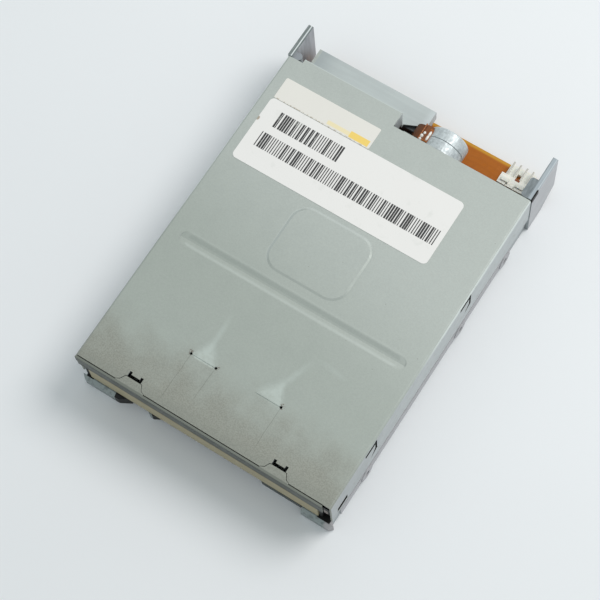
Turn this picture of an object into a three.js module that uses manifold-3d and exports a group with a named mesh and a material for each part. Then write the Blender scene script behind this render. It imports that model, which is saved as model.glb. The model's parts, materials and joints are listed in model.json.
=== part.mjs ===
// A 3.5-inch floppy disk drive of the one-inch-high kind, without a front bezel.
// Millimetres, +Z up. X runs from left to right as seen from the front, Y from the front to the rear.
// While the pieces are made, Y is 0 at the front edge of the top cover; the group is moved at the end so
// that its origin is the middle of the footprint.
import * as THREE from 'three';
import { mergeVertices } from 'three/addons/utils/BufferGeometryUtils.js';
import Module from 'manifold-3d';

const wasm = await Module();
wasm.setup();

// The 3.5-inch disk that the drive takes
const diskWidth = 90;
const diskLength = 94;
const diskThick = 3.3;
const hubFromLeadingEdge = 52;
const outerTrackRadius = 39.5;
const headTravel = 15;

// Gaps shared by all pieces
const seatGap = 0.2;
const slideGap = 0.3;
const endGap = 0.5;
const rubGap = 0.1;
const overrun = 1;

// Overall sizes
const sideMargin = 5.8;
const driveWidth = diskWidth + 2 * sideMargin;
const driveHeight = 25.4;
const lipReach = 1.7;
const rearReach = 17;

// Levels of the main layers
const boardUnder = 2.6;
const boardThick = 1.4;
const floorUnder = 5.4;
const floorThick = 1.4;
const diskPostHeight = 1.4;
const embossRise = 0.3;
const coverSheet = 0.7;
const wallThick = 1.6;
const bossReach = 0.3;

const halfWidth = driveWidth / 2;
const boardTop = boardUnder + boardThick;
const floorTop = floorUnder + floorThick;
const coverTop = driveHeight - embossRise;
const coverUnder = coverTop - coverSheet;
const coverHalf = halfWidth - bossReach;
const skirtInner = coverHalf - coverSheet;
const wallOuter = skirtInner - seatGap;
const wallInner = wallOuter - wallThick;
const wallTop = coverUnder - seatGap;
const diskBottomLoaded = floorTop + diskPostHeight;
const mediaLevel = diskBottomLoaded + diskThick / 2;
const hubY = diskLength - hubFromLeadingEdge;
const outerTrackY = hubY + outerTrackRadius;

// Disk holder, which drops onto the spindle
const holderSheet = 0.8;
const holderRoom = 4.4;
const holderSideGap = 0.7;
const holderDrop = 2.6;
const holderFront = 14;
const holderRearRoom = 3.5;
const holderRear = diskLength + holderRearRoom;
const holderInner = diskWidth / 2 + holderSideGap;
const holderOuter = holderInner + holderSheet;
const holderUnder = floorTop + slideGap + holderDrop;
const holderFloor = holderUnder + holderSheet;
const holderCeiling = holderFloor + holderRoom;
const holderTop = holderCeiling + holderSheet;

// Eject slider and the guide pins that it lifts
const ejectTravel = 5.2;
const sliderSheet = 0.8;
const sliderFrontSet = 3.5;
const sliderFront = holderFront + sliderFrontSet;
const sliderRearSet = 5.5;
const sliderRear = holderRear - sliderRearSet;
const sliderInner = holderOuter + slideGap;
const sliderOuter = sliderInner + sliderSheet;
const sliderUnder = holderTop + slideGap;
const sliderTop = sliderUnder + sliderSheet;
const guidePinRadius = 0.7;
const guideSlotPlay = 0.25;
const guidePinFrontSet = 14;
const guidePinFrontY = holderFront + guidePinFrontSet;
const guidePinRearSet = 15.5;
const guidePinRearY = holderRear - guidePinRearSet;
const guidePinRise = 2.7;
const guidePinLevel = holderFloor + guidePinRise;
const guidePinInWall = 0.7;

// Head carriage, its rail posts, the lead screw, the guide rod and the stepper motor, from front to rear
const armHalfWidth = 7;
const armTipSet = 4.1;
const armTipY = outerTrackY - armTipSet;
const headSlotHalf = 9.5;
const headSlotSet = 24.5;
const headSlotFront = outerTrackY - headSlotSet;
const postDepth = 2;
const postFront = holderRear + endGap;
const carriageBlockDepth = 10;
const carriageBlockFront = postFront + postDepth + endGap + headTravel;
const rearWallFront = carriageBlockFront + carriageBlockDepth + endGap;
const rearWallThick = 0.9;
const chassisFloorRear = rearWallFront + rearWallThick;
const bracketSheet = 1;
const motorFront = chassisFloorRear + bracketSheet + rubGap;
const bodyDepth = motorFront + rearReach;
const motorRadius = 7.6;
const screwOffset = 5.6;
const motorX = armHalfWidth + screwOffset;
const motorRise = 6.6;
const motorLevel = floorTop + motorRise;
const cupLength = 4.7;
const cupSeam = 0.2;
const screwRadius = 1.5;
const screwSet = 0.6;
const screwFront = postFront + screwSet;
const rodRadius = 1.5;
const rodX = -13;
const rodRise = 2.8;
const rodLevel = floorTop + rodRise;
const carriageUnder = floorUnder + endGap;
const hingeRise = 1.9;
const hingeLevel = holderTop + hingeRise;
const carriageTopDrop = 2.4;
const carriageTop = hingeLevel - carriageTopDrop;

// Spindle
const shaftRadius = 1.5;
const shaftPlay = 0.25;
const hubRadius = 12.5;
const rotorRadius = 24;

// Rear parts
const chipGap = 0.1;
const flapSheet = 0.7;
const connectorPitch = 2.54;
const pinSize = 0.64;
const signalRows = 2;
const signalColumns = 17;
const signalEnds = 3.32;
const signalEdge = 3.8;
const signalLeft = -wallInner + signalEdge;
const signalRight = signalLeft + signalColumns * connectorPitch + signalEnds;
const signalHeight = 9.2;
const signalDepth = 9;
const signalSet = 2.6;
const signalRear = bodyDepth - signalSet;
const signalFront = signalRear - signalDepth;
const flapRoom = 1;
const flapLevel = boardTop + chipGap + signalHeight + flapRoom + flapSheet;
const boardEdge = 0.6;
const boardHalf = wallInner - boardEdge;
const boardFrontSet = 13.5;
const boardFront = holderRear - boardFrontSet;
const boardRearSet = 0.8;
const boardRear = bodyDepth - boardRearSet;

const wideSteps = 48;
const roundSteps = 24;
const smallSteps = 12;
const cornerSteps = 4;

// Solid makers. Each gives a solid in place.
function solidOf(geometry) {
  const bare = geometry.clone();
  bare.deleteAttribute('normal');
  bare.deleteAttribute('uv');
  const merged = mergeVertices(bare, 1e-5);
  return new wasm.Manifold(
    new wasm.Mesh({
      numProp: 3,
      vertProperties: new Float32Array(merged.attributes.position.array),
      triVerts: new Uint32Array(merged.index.array),
    }),
  );
}

function box(x0, x1, y0, y1, z0, z1) {
  const geometry = new THREE.BoxGeometry(x1 - x0, y1 - y0, z1 - z0);
  geometry.translate((x0 + x1) / 2, (y0 + y1) / 2, (z0 + z1) / 2);
  return solidOf(geometry);
}

function rod(axis, radius, from, to, centre, steps = roundSteps) {
  const geometry = new THREE.CylinderGeometry(radius, radius, to - from, steps);
  const middle = (from + to) / 2;
  if (axis === 'x') {
    geometry.rotateZ(-Math.PI / 2);
    geometry.translate(middle, centre[0], centre[1]);
  } else if (axis === 'y') {
    geometry.translate(centre[0], middle, centre[1]);
  } else {
    geometry.rotateX(Math.PI / 2);
    geometry.translate(centre[0], centre[1], middle);
  }
  return solidOf(geometry);
}

function shapeOf(points) {
  return new THREE.Shape(points.map(([a, b]) => new THREE.Vector2(a, b)));
}

function roundedRect(a0, a1, b0, b1, radius) {
  const shape = new THREE.Shape();
  shape.moveTo(a0 + radius, b0);
  shape.lineTo(a1 - radius, b0);
  shape.absarc(a1 - radius, b0 + radius, radius, -Math.PI / 2, 0, false);
  shape.lineTo(a1, b1 - radius);
  shape.absarc(a1 - radius, b1 - radius, radius, 0, Math.PI / 2, false);
  shape.lineTo(a0 + radius, b1);
  shape.absarc(a0 + radius, b1 - radius, radius, Math.PI / 2, Math.PI, false);
  shape.lineTo(a0, b0 + radius);
  shape.absarc(a0 + radius, b0 + radius, radius, Math.PI, 1.5 * Math.PI, false);
  return shape;
}

// A slot with round ends between two points of its outline's plane.
function slotShape(start, end, radius) {
  const along = Math.atan2(end[1] - start[1], end[0] - start[0]);
  const shape = new THREE.Shape();
  shape.absarc(start[0], start[1], radius, along + Math.PI / 2, along + 1.5 * Math.PI, false);
  shape.absarc(end[0], end[1], radius, along - Math.PI / 2, along + Math.PI / 2, false);
  return shape;
}

// Outline in X and Y, standing from z0 to z1.
function plateZ(shape, z0, z1, steps = cornerSteps) {
  const options = { depth: z1 - z0, bevelEnabled: false, curveSegments: steps };
  const geometry = new THREE.ExtrudeGeometry(shape, options);
  geometry.translate(0, 0, z0);
  return solidOf(geometry);
}

// Outline in X and Z, running from y0 to y1.
function plateY(shape, y0, y1, steps = cornerSteps) {
  const options = { depth: y1 - y0, bevelEnabled: false, curveSegments: steps };
  const geometry = new THREE.ExtrudeGeometry(shape, options);
  geometry.rotateX(Math.PI / 2);
  geometry.translate(0, y1, 0);
  return solidOf(geometry);
}

// Outline in Y and Z, running from x0 to x1.
function plateX(shape, x0, x1, steps = cornerSteps) {
  const options = { depth: x1 - x0, bevelEnabled: false, curveSegments: steps };
  const geometry = new THREE.ExtrudeGeometry(shape, options);
  const turned = new THREE.Matrix4().makeBasis(
    new THREE.Vector3(0, 1, 0),
    new THREE.Vector3(0, 0, 1),
    new THREE.Vector3(1, 0, 0),
  );
  geometry.applyMatrix4(turned);
  geometry.translate(x0, 0, 0);
  return solidOf(geometry);
}

// A turned piece about the Y line through (x, z); profile points are [radius, y].
function turnedY(profile, x, z, steps = roundSteps) {
  const points = profile.map(([r, y]) => new THREE.Vector2(r, y));
  const geometry = new THREE.LatheGeometry(points, steps);
  geometry.translate(x, 0, z);
  return solidOf(geometry);
}

// A turned piece about the Z line through (x, y); profile points are [radius, z].
function turnedZ(profile, x, y, steps = roundSteps) {
  const points = profile.map(([r, z]) => new THREE.Vector2(r, z));
  const geometry = new THREE.LatheGeometry(points, steps);
  geometry.rotateX(Math.PI / 2);
  geometry.translate(x, y, 0);
  return solidOf(geometry);
}

function join(solids) {
  return solids.reduce((sum, next) => sum.add(next));
}

function cut(solid, tools) {
  return tools.reduce((rest, tool) => rest.subtract(tool), solid);
}

function geometryOf(solid) {
  const mesh = solid.getMesh();
  const geometry = new THREE.BufferGeometry();
  const places = new Float32Array(mesh.vertProperties);
  geometry.setAttribute('position', new THREE.BufferAttribute(places, mesh.numProp));
  geometry.setIndex(new THREE.BufferAttribute(new Uint32Array(mesh.triVerts), 1));
  return geometry;
}

// Finishes
const finishes = {
  zincSteel: { color: 0xadb8b2, roughness: 0.42, metalness: 0.85 },
  darkSteel: { color: 0x6b706f, roughness: 0.45, metalness: 0.85 },
  castMetal: { color: 0x9a9fa1, roughness: 0.5, metalness: 0.8 },
  brightSteel: { color: 0xc8ccce, roughness: 0.25, metalness: 0.95 },
  springSteel: { color: 0xb2b5b6, roughness: 0.3, metalness: 0.9 },
  brass: { color: 0xb99a55, roughness: 0.35, metalness: 0.9 },
  beigePlastic: { color: 0xa79e83, roughness: 0.55, metalness: 0 },
  ivoryPlastic: { color: 0xe9e4d2, roughness: 0.5, metalness: 0 },
  blackPlastic: { color: 0x1d1e20, roughness: 0.5, metalness: 0 },
  greyPlastic: { color: 0x5b5e61, roughness: 0.55, metalness: 0 },
  board: { color: 0xa5641f, roughness: 0.45, metalness: 0 },
  film: { color: 0xb96a22, roughness: 0.35, metalness: 0 },
  ferrite: { color: 0x2c2b2d, roughness: 0.4, metalness: 0.1 },
  headCeramic: { color: 0xd9d3c4, roughness: 0.25, metalness: 0 },
  whitePaper: { color: 0xe8ecea, roughness: 0.7, metalness: 0 },
  creamPaper: { color: 0xe9e2c9, roughness: 0.65, metalness: 0 },
};

const drive = new THREE.Group();

function addPiece(name, solid, finish) {
  const settings = finishes[finish];
  const material = new THREE.MeshStandardMaterial(settings);
  const mesh = new THREE.Mesh(geometryOf(solid), material);
  mesh.name = name;
  drive.add(mesh);
}

// Front door, hinged along its top edge
const doorThick = 1.1;
const doorFront = -0.2;
const doorDrop = 0.9;
const doorUnder = floorTop - doorDrop;
const doorRise = 1.4;
const doorTop = holderTop + doorRise;
const doorEndGap = 0.6;
const doorPostGap = 0.4;
const doorPostSlideGap = 0.6;
const doorPostThick = 1;
const doorPostOuter = sliderInner - doorPostSlideGap;
const doorPostInner = doorPostOuter - doorPostThick;
const doorLeft = -wallInner + doorEndGap;
const doorRight = doorPostInner - doorPostGap;
const doorPinRadius = 0.45;
const doorPinPlay = 0.15;
const doorPinLength = 1.2;
const doorPinBack = 1.5;
const doorPinDown = 1.3;
const doorBarrelRadius = 0.9;
const doorRecessDepth = 0.4;
const doorRecessHeight = 1.6;
const doorRecessSet = 5.7;
const doorRecessLength = 7.8;
const doorRecessRightSet = 9.5;
const doorRecessRightLength = 6.6;
const doorRecessSpans = [
  [doorLeft + doorRecessSet, doorLeft + doorRecessSet + doorRecessLength],
  [doorRight - doorRecessRightSet - doorRecessRightLength, doorRight - doorRecessRightSet],
];
const doorPinY = doorFront + doorPinBack;
const doorPinLevel = doorTop - doorPinDown;

function frontDoor() {
  const panel = box(doorLeft, doorRight, doorFront, doorFront + doorThick, doorUnder, doorTop);
  const barrel = rod('x', doorBarrelRadius, doorLeft, doorRight, [doorPinY, doorPinLevel], smallSteps);
  const pin = rod(
    'x',
    doorPinRadius,
    doorLeft - doorPinLength,
    doorRight + doorPinLength,
    [doorPinY, doorPinLevel],
    smallSteps,
  );
  const recesses = doorRecessSpans.map(([x0, x1]) =>
    box(
      x0,
      x1,
      doorFront - overrun,
      doorFront + doorRecessDepth,
      doorTop - doorRecessHeight,
      doorTop + overrun,
    ),
  );
  return cut(join([panel, barrel, pin]), recesses);
}

// Chassis: a cast tray with side walls, rear ears, front lips and side bosses
const chassisFloorFront = 6.4;
const rearWallHalf = 11.4;
const rearWallLeft = motorX - rearWallHalf;
const rearWallRight = motorX + rearWallHalf;
const rearWallRise = 8;
const rearWallTop = motorLevel + rearWallRise;
const rearWallBore = 4.2;
const leftWallFront = 0.3;
const rightWallFront = 2.5;
const earThick = 2;
const earRightSet = 0.4;
const earRightFront = chassisFloorRear + earRightSet;
const earLeftSet = 4.4;
const earLeftFront = chassisFloorRear + earLeftSet;
const earFoot = 5;
const earFootSlope = 9;
const linkFoot = 4.6;
const lipHeight = 4.4;
const lipSlopeHeight = 5.3;
const lipShelfFront = -0.3;
const lipLeftWidth = 12.4;
const lipInnerLeft = -wallInner + lipLeftWidth;
const lipSlantWidth = 4;
const lipSlantRear = 0.5;
const lipRightWidth = 9.4;
const lipInnerRight = wallInner - lipRightWidth;
const lipCorner = 1.3;
const spindleHoleRadius = 14;
const bossRadius = 3.4;
const bossLevel = 5;
const sideBossYs = [21, 81, 111];
const sillFront = 5;
const sillRear = 115;
const sillFoot = 2.8;
const sillTop = 8;
const bossBoreRadius = 1.25;
const bossBoreDepth = 2;
const lugThick = 2.7;
const lugRightDepth = 7.9;
const lugRightRear = earRightFront + lugRightDepth;
const lugLeftDepth = 2.9;
const lugLeftRear = earLeftFront + lugLeftDepth;
const lugRightDown = 0.5;
const lugLeftDown = 1;
const hangTabLeft = -25.2;
const hangTabWidth = 5;
const hangTabRight = hangTabLeft + hangTabWidth;
const hangTabBevelLeft = 1.6;
const hangTabBevelRight = 2;
const hangTabFront = -0.3;
const hangTabShoulder = 0.8;
const ribLeft = 21.8;
const ribWidth = 15.6;
const ribRight = ribLeft + ribWidth;
const ribFront = 0.2;
const ribHeight = 3;
const diskPostRadius = 1.8;
const diskPostInset = 8;
const diskPostX = diskWidth / 2 - diskPostInset;
const diskPostYs = [holderFront + diskPostInset, diskLength - diskPostInset];
const doorPostRear = 7.4;
const doorPostWall = 0.4;
const railPostHalf = 3;
const armSlotHalf = 6.6;
const armSlotFront = armTipY - headTravel - overrun;
const blockRodSide = 4.6;
const blockLeft = rodX - blockRodSide;
const blockScrewSide = 3.8;
const blockRight = motorX - blockScrewSide;
const boardScrewInset = 3.4;
const boardScrewSet = 6;
const rearScrewOffset = 17.4;
const rearScrewSet = 2.9;
const boardScrewPlaces = [
  [-boardHalf + boardScrewInset, boardFront + boardScrewSet],
  [boardHalf - boardScrewInset, boardFront + boardScrewSet],
  [motorX + rearScrewOffset, chassisFloorRear - rearScrewSet],
];
const spindleScrewWide = 27;
const spindleScrewNarrow = 22;
const spindleScrewAhead = 22;
const spindleScrewBehind = 24;
const spindleScrewPlaces = [
  [-spindleScrewWide, hubY - spindleScrewAhead],
  [spindleScrewWide, hubY - spindleScrewAhead],
  [spindleScrewNarrow, hubY + spindleScrewBehind],
];
const standoffRadius = 2.4;
const boardScrewRadius = 1;
const boardScrewDepth = 1;
const boardScrewPlay = 0.2;
const sensorOffset = 7;
const sensorLeft = motorX + sensorOffset;
const sensorWidth = 4.2;
const sensorSet = 3;
const sensorFront = carriageBlockFront + sensorSet;
const sensorDepth = 4;
const flexConnectorOffset = 20;
const flexConnectorLeft = rodX - flexConnectorOffset;
const flexConnectorWidth = 8;
const flexConnectorSet = 7.5;
const flexConnectorFront = carriageBlockFront - flexConnectorSet;
const flexConnectorDepth = 5;
const windowRim = 0.5;
const switchInset = 4.5;
const diskSwitchInset = 15;
const switchXs = {
  protect: diskWidth / 2 - switchInset,
  density: -diskWidth / 2 + switchInset,
  disk: -diskWidth / 2 + diskSwitchInset,
};
const switchSink = 0.7;
const switchFoot = floorTop - switchSink;
const spindleBoardGap = 0.2;
const spindleBoardThick = 1;

function chassisFloor() {
  const tray = box(-wallOuter, wallOuter, chassisFloorFront, chassisFloorRear, floorUnder, floorTop);
  const low = floorUnder - overrun;
  const high = floorTop + overrun;
  const armSlot = box(-armSlotHalf, armSlotHalf, armSlotFront, rearWallFront, low, high);
  const blockSlot = box(
    blockLeft - slideGap,
    blockRight + slideGap,
    postFront + postDepth,
    rearWallFront,
    low,
    high,
  );
  const wideSlot = box(
    blockRight,
    carriageReach + slideGap,
    postFront + postDepth,
    rearWallFront - overrun,
    low,
    high,
  );
  const spindleHole = rod('z', spindleHoleRadius, low, high, [0, hubY]);
  const sensorWindow = box(
    sensorLeft - windowRim,
    sensorLeft + sensorWidth + windowRim,
    sensorFront - windowRim,
    sensorFront + sensorDepth + windowRim,
    low,
    high,
  );
  const flexWindow = box(
    flexConnectorLeft - windowRim,
    flexConnectorLeft + flexConnectorWidth + windowRim,
    flexConnectorFront - windowRim,
    flexConnectorFront + flexConnectorDepth + windowRim,
    low,
    high,
  );
  const switchPockets = Object.values(switchXs).map((x) =>
    box(
      x - switchHalf - seatGap,
      x + switchHalf + seatGap,
      switchFront - seatGap,
      switchFront + switchDepth + seatGap,
      switchFoot - seatGap,
      high,
    ),
  );
  const windows = [sensorWindow, flexWindow, ...switchPockets];
  return cut(tray, [armSlot, blockSlot, wideSlot, spindleHole, ...windows]);
}

// Side wall with the two upright slots for the disk holder's guide pins.
function chassisWall(side, front) {
  const x0 = Math.min(side * wallInner, side * wallOuter);
  const x1 = Math.max(side * wallInner, side * wallOuter);
  const wall = box(x0, x1, front, chassisFloorRear, 0, wallTop);
  const slotRadius = guidePinRadius + guideSlotPlay;
  const slots = [guidePinFrontY, guidePinRearY].map((y) =>
    plateX(
      slotShape([y, guidePinLevel], [y, guidePinLevel - holderDrop], slotRadius),
      x0 - overrun,
      x1 + overrun,
    ),
  );
  return cut(wall, slots);
}

// A sill along the foot of a side wall, flush with the cover's skirt above it.
function sideSill(side) {
  const from = side * (wallOuter - overrun);
  const to = side * coverHalf;
  return box(Math.min(from, to), Math.max(from, to), sillFront, sillRear, sillFoot, sillTop);
}

function sideBosses(side) {
  const from = Math.min(side * wallInner, side * halfWidth);
  const to = Math.max(side * wallInner, side * halfWidth);
  return sideBossYs.map((y) => rod('x', bossRadius, from, to, [y, bossLevel]));
}

function bossBores(side) {
  const deep = side * (halfWidth - bossBoreDepth);
  const out = side * (halfWidth + overrun);
  const from = Math.min(deep, out);
  const to = Math.max(deep, out);
  return sideBossYs.map((y) => rod('x', bossBoreRadius, from, to, [y, bossLevel], smallSteps));
}

// Rear ear: a tall plate with a sloped lower rear corner.
function chassisEar(side, front) {
  const outline = shapeOf([
    [front, 0],
    [bodyDepth - earFootSlope, 0],
    [bodyDepth, earFoot],
    [bodyDepth, driveHeight],
    [front, driveHeight],
  ]);
  const inner = side * (halfWidth - earThick);
  const outer = side * halfWidth;
  return plateX(outline, Math.min(inner, outer), Math.max(inner, outer));
}

// The link between a side wall, which ends under the cover, and its ear.
function earLink(side, front) {
  const x0 = Math.min(side * wallInner, side * wallOuter);
  const x1 = Math.max(side * wallInner, side * wallOuter);
  return box(x0, x1, chassisFloorRear - overrun, front + earThick, linkFoot, wallTop);
}

// Rounded lug that stands beside an ear.
function earLug(side, front, rear, top) {
  const outer = side * (halfWidth - earThick / 2);
  const inner = side * (halfWidth - earThick - lugThick);
  const x0 = Math.min(outer, inner);
  const x1 = Math.max(outer, inner);
  const shape = roundedRect(x0, x1, front, rear, lugThick / 2 - seatGap);
  return plateZ(shape, floorUnder, top);
}

// A low lip along the front edge, sloping back to the door.
function frontLip(side, innerX, slant) {
  const endX = innerX - side * slant;
  const outerX = side * halfWidth;
  const x0 = Math.min(endX, outerX);
  const x1 = Math.max(endX, outerX);
  const nose = plateX(
    shapeOf([
      [-lipReach, 0],
      [lipShelfFront, 0],
      [lipShelfFront, lipSlopeHeight],
      [-lipReach, lipHeight],
    ]),
    x0,
    x1,
  );
  const cornerCut = plateZ(
    shapeOf(
      side > 0
        ? [
            [outerX - lipCorner, -lipReach - overrun],
            [outerX + overrun, -lipReach - overrun],
            [outerX + overrun, -lipReach + lipCorner],
            [outerX, -lipReach + lipCorner],
            [outerX - lipCorner, -lipReach],
          ]
        : [
            [outerX + lipCorner, -lipReach],
            [outerX, -lipReach + lipCorner],
            [outerX - overrun, -lipReach + lipCorner],
            [outerX - overrun, -lipReach - overrun],
            [outerX + lipCorner, -lipReach - overrun],
          ],
    ),
    -overrun,
    lipSlopeHeight + overrun,
  );
  const shelfOuter = side * wallOuter;
  const s0 = Math.min(endX, shelfOuter);
  const s1 = Math.max(endX, shelfOuter);
  const shelf = box(s0, s1, lipShelfFront - seatGap, chassisFloorFront + overrun, 0, lipSlopeHeight);
  const neck = box(s0, s1, chassisFloorFront, chassisFloorFront + overrun, 0, floorTop);
  const lip = join([cut(nose, [cornerCut]), shelf, neck]);
  return slant > 0 ? cut(lip, [lipEndCut(side, innerX, endX)]) : lip;
}

// The slanted end of a lip, from its nose back to its shelf.
function lipEndCut(side, innerX, endX) {
  const past = endX - side * overrun;
  const corners = [
    [innerX, -lipReach - overrun],
    [innerX, -lipReach],
    [endX, lipSlantRear],
    [past, lipSlantRear],
    [past, -lipReach - overrun],
  ];
  return plateZ(shapeOf(corners), -overrun, lipSlopeHeight + overrun);
}

// A small tab with slanted corners that hangs from the floor's front edge.
function slantedTab() {
  const outline = shapeOf([
    [hangTabLeft, hangTabShoulder],
    [hangTabLeft + hangTabBevelLeft, hangTabFront],
    [hangTabRight - hangTabBevelRight, hangTabFront],
    [hangTabRight, hangTabShoulder],
    [hangTabRight, chassisFloorFront + overrun],
    [hangTabLeft, chassisFloorFront + overrun],
  ]);
  const neck = box(hangTabLeft, hangTabRight, chassisFloorFront, chassisFloorFront + overrun, 0, floorTop);
  return plateZ(outline, 0, lipHeight).add(neck);
}

// A small rib that hangs from the floor's front edge.
function underRib(x0, x1, front, height) {
  const foot = box(x0, x1, front, chassisFloorFront + overrun, 0, height);
  const neck = box(x0, x1, chassisFloorFront, chassisFloorFront + overrun, 0, floorTop);
  return foot.add(neck);
}

function doorPost() {
  const front = doorPinY - doorPinRadius - doorPinPlay - doorPostWall;
  const post = box(doorPostInner, doorPostOuter, front, doorPostRear, floorUnder - overrun, doorTop);
  const foot = box(
    doorPostInner,
    wallOuter,
    chassisFloorFront - overrun,
    doorPostRear,
    floorUnder - overrun,
    floorTop,
  );
  return post.add(foot);
}

function doorPinHoles() {
  const radius = doorPinRadius + doorPinPlay;
  const place = [doorPinY, doorPinLevel];
  const leftEnd = doorLeft - doorPinLength - doorPinPlay;
  return [
    rod('x', radius, leftEnd, -wallInner + overrun, place, smallSteps),
    rod('x', radius, doorPostInner - overrun, doorPostOuter + overrun, place, smallSteps),
  ];
}

// Cast rear wall that the stepper motor's bracket is screwed to.
function rearWall() {
  return box(rearWallLeft, rearWallRight, rearWallFront, chassisFloorRear, floorUnder, rearWallTop);
}

// Posts that carry the lead screw's front end and both ends of the guide rod.
function railPosts() {
  const screwPost = box(
    motorX - railPostHalf,
    motorX + railPostHalf,
    postFront,
    postFront + postDepth,
    floorUnder,
    motorLevel + railPostHalf,
  );
  const rodPosts = [
    [postFront, postFront + postDepth],
    [rearWallFront, rearWallFront + postDepth],
  ].map(([front, rear]) =>
    box(
      rodX - railPostHalf,
      rodX + railPostHalf,
      front,
      rear,
      floorUnder,
      rodLevel + rodRadius + wallThick / 2,
    ),
  );
  return [screwPost, ...rodPosts];
}

function railBores() {
  const motorBore = rod(
    'y',
    rearWallBore,
    rearWallFront - overrun,
    chassisFloorRear + overrun,
    [motorX, motorLevel],
  );
  const screwBore = rod(
    'y',
    screwRadius + shaftPlay,
    screwFront - seatGap,
    postFront + postDepth + overrun,
    [motorX, motorLevel],
  );
  const rodBore = rod(
    'y',
    rodRadius + seatGap,
    rodFront - seatGap,
    rodRear + seatGap,
    [rodX, rodLevel],
  );
  const screwHoles = bracketScrewXs.map((x) =>
    rod(
      'y',
      bracketScrewRadius + seatGap,
      rearWallFront - overrun,
      chassisFloorRear + overrun,
      [x, motorLevel],
      smallSteps,
    ),
  );
  return [motorBore, screwBore, rodBore, ...screwHoles];
}

function standoffs() {
  return boardScrewPlaces.map((place) =>
    rod('z', standoffRadius, boardTop + seatGap, floorTop, place, smallSteps),
  );
}

function floorBores() {
  const top = floorTop - boardScrewDepth / 2;
  const radius = boardScrewRadius + boardScrewPlay;
  return [...boardScrewPlaces, ...spindleScrewPlaces].map((place) =>
    rod('z', radius, boardUnder, top, place, smallSteps),
  );
}

function diskPosts() {
  const places = diskPostYs.flatMap((y) => [
    [-diskPostX, y],
    [diskPostX, y],
  ]);
  return places.map((place) => rod('z', diskPostRadius, floorUnder, diskBottomLoaded, place, smallSteps));
}

function chassis() {
  const body = join([
    chassisFloor(),
    chassisWall(-1, leftWallFront),
    chassisWall(1, rightWallFront),
    sideSill(-1),
    sideSill(1),
    ...sideBosses(-1),
    ...sideBosses(1),
    chassisEar(-1, earLeftFront),
    chassisEar(1, earRightFront),
    earLink(-1, earLeftFront),
    earLink(1, earRightFront),
    earLug(-1, earLeftFront, lugLeftRear, driveHeight - lugLeftDown),
    earLug(1, earRightFront, lugRightRear, driveHeight - lugRightDown),
    frontLip(-1, lipInnerLeft, lipSlantWidth),
    frontLip(1, lipInnerRight, 0),
    slantedTab(),
    underRib(ribLeft, ribRight, ribFront, ribHeight),
    doorPost(),
    rearWall(),
    ...railPosts(),
    ...standoffs(),
    ...diskPosts(),
  ]);
  return cut(body, [
    ...bossBores(-1),
    ...bossBores(1),
    ...doorPinHoles(),
    ...railBores(),
    ...floorBores(),
  ]);
}

// Top cover: one bent sheet with side skirts, a stepped flap over the signal connector, a raised pad over
// the heads, a stiffening groove, and slots for its hooks
const coverBend = 0.9;
const skirtSillGap = 1.4;
const skirtFoot = sillTop + skirtSillGap;
const coverRearRight = chassisFloorRear + rubGap;
const coverRearCorner = earLeftFront - seatGap;
const coverStepSet = 1.45;
const coverRearStep = earLeftFront + coverStepSet;
const stepEdge = 3.5;
const stepLeft = -wallInner + stepEdge;
const stepShort = 6.6;
const stepRight = signalRight - stepShort;
const stepNotchWidth = 3.1;
const stepNotchRight = stepRight + stepNotchWidth;
const flapLeftReach = 0.9;
const flapLeft = stepLeft - flapLeftReach;
const flapRight = signalRight + flapRoom;
const flapRearReach = 0.95;
const flapRear = signalRear + flapRearReach;
const flapLipDrop = 1.6;
const flapSideDrop = 5;
const flapSideSet = 4.05;
const flapSideFront = coverRearStep + flapSideSet;
const flapCornerSet = 0.55;
const flapCornerFront = coverRearStep + flapCornerSet;
const notchWallDrop = 8;
const padX = -0.4;
const padSet = 8.65;
const padY = outerTrackY - padSet;
const padWidth = 31.7;
const padDepth = 26.1;
const padRadius = 6.5;
const padSlope = 0.8;
const padWall = 0.7;
const grooveLeftSet = 8.25;
const grooveLeft = -coverHalf + grooveLeftSet;
const grooveRightSet = 7.65;
const grooveRight = coverHalf - grooveRightSet;
const grooveY = 54;
const grooveHalf = 2.45;
const grooveDepth = 0.45;
const grooveWall = 0.1;
const tongueXs = [-28.7, 28.6];
const tongueBaseHalf = 5.6;
const tongueShoulderHalf = 4.2;
const tongueTipHalf = 3.1;
const tongueShoulderY = 0.6;
const tongueTipY = 2.55;
const tongueGap = 0.15;
const hookSlotHalf = 2.75;
const hookSlotDepth = 1;
const hookSlotArm = 0.95;
const hookSlotArmWidth = 1.05;
const lanceY = 20.4;
const lanceRise = 0.28;
const lanceDepth = 6.7;
const lanceApexInset = 4;
const lanceHoleRadius = 0.5;
const lanceLength = 9.9;
const lanceLeft = -17.6;
const lanceRight = 18.1;
const lances = [
  {
    from: lanceLeft,
    to: lanceLeft + lanceLength,
    apex: lanceLeft + lanceApexInset,
    holes: [lanceLeft, lanceLeft + lanceLength],
  },
  {
    from: lanceRight - lanceLength,
    to: lanceRight,
    apex: lanceRight - lanceApexInset,
    holes: [lanceRight],
  },
];
const hookTabRears = [27.9, 87.6];
const hookTabLength = 6.9;
const hookTabTop = 24;
const hookTabTopSlit = 2.4;
const hookTabSlit = 1.1;
const hookTabEnd = 24.3;
const hookTabElbow = 18;
const hookTabElbowFoot = 16;
const hookTabTipSet = 4.2;
const hookTabTip = 14;
const sideSlotFront = 3.6;
const sideSlotLength = 5.6;
const sideSlotRear = sideSlotFront + sideSlotLength;
const sideSlotLevel = 11.4;
const sideSlotWidth = 3;

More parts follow.
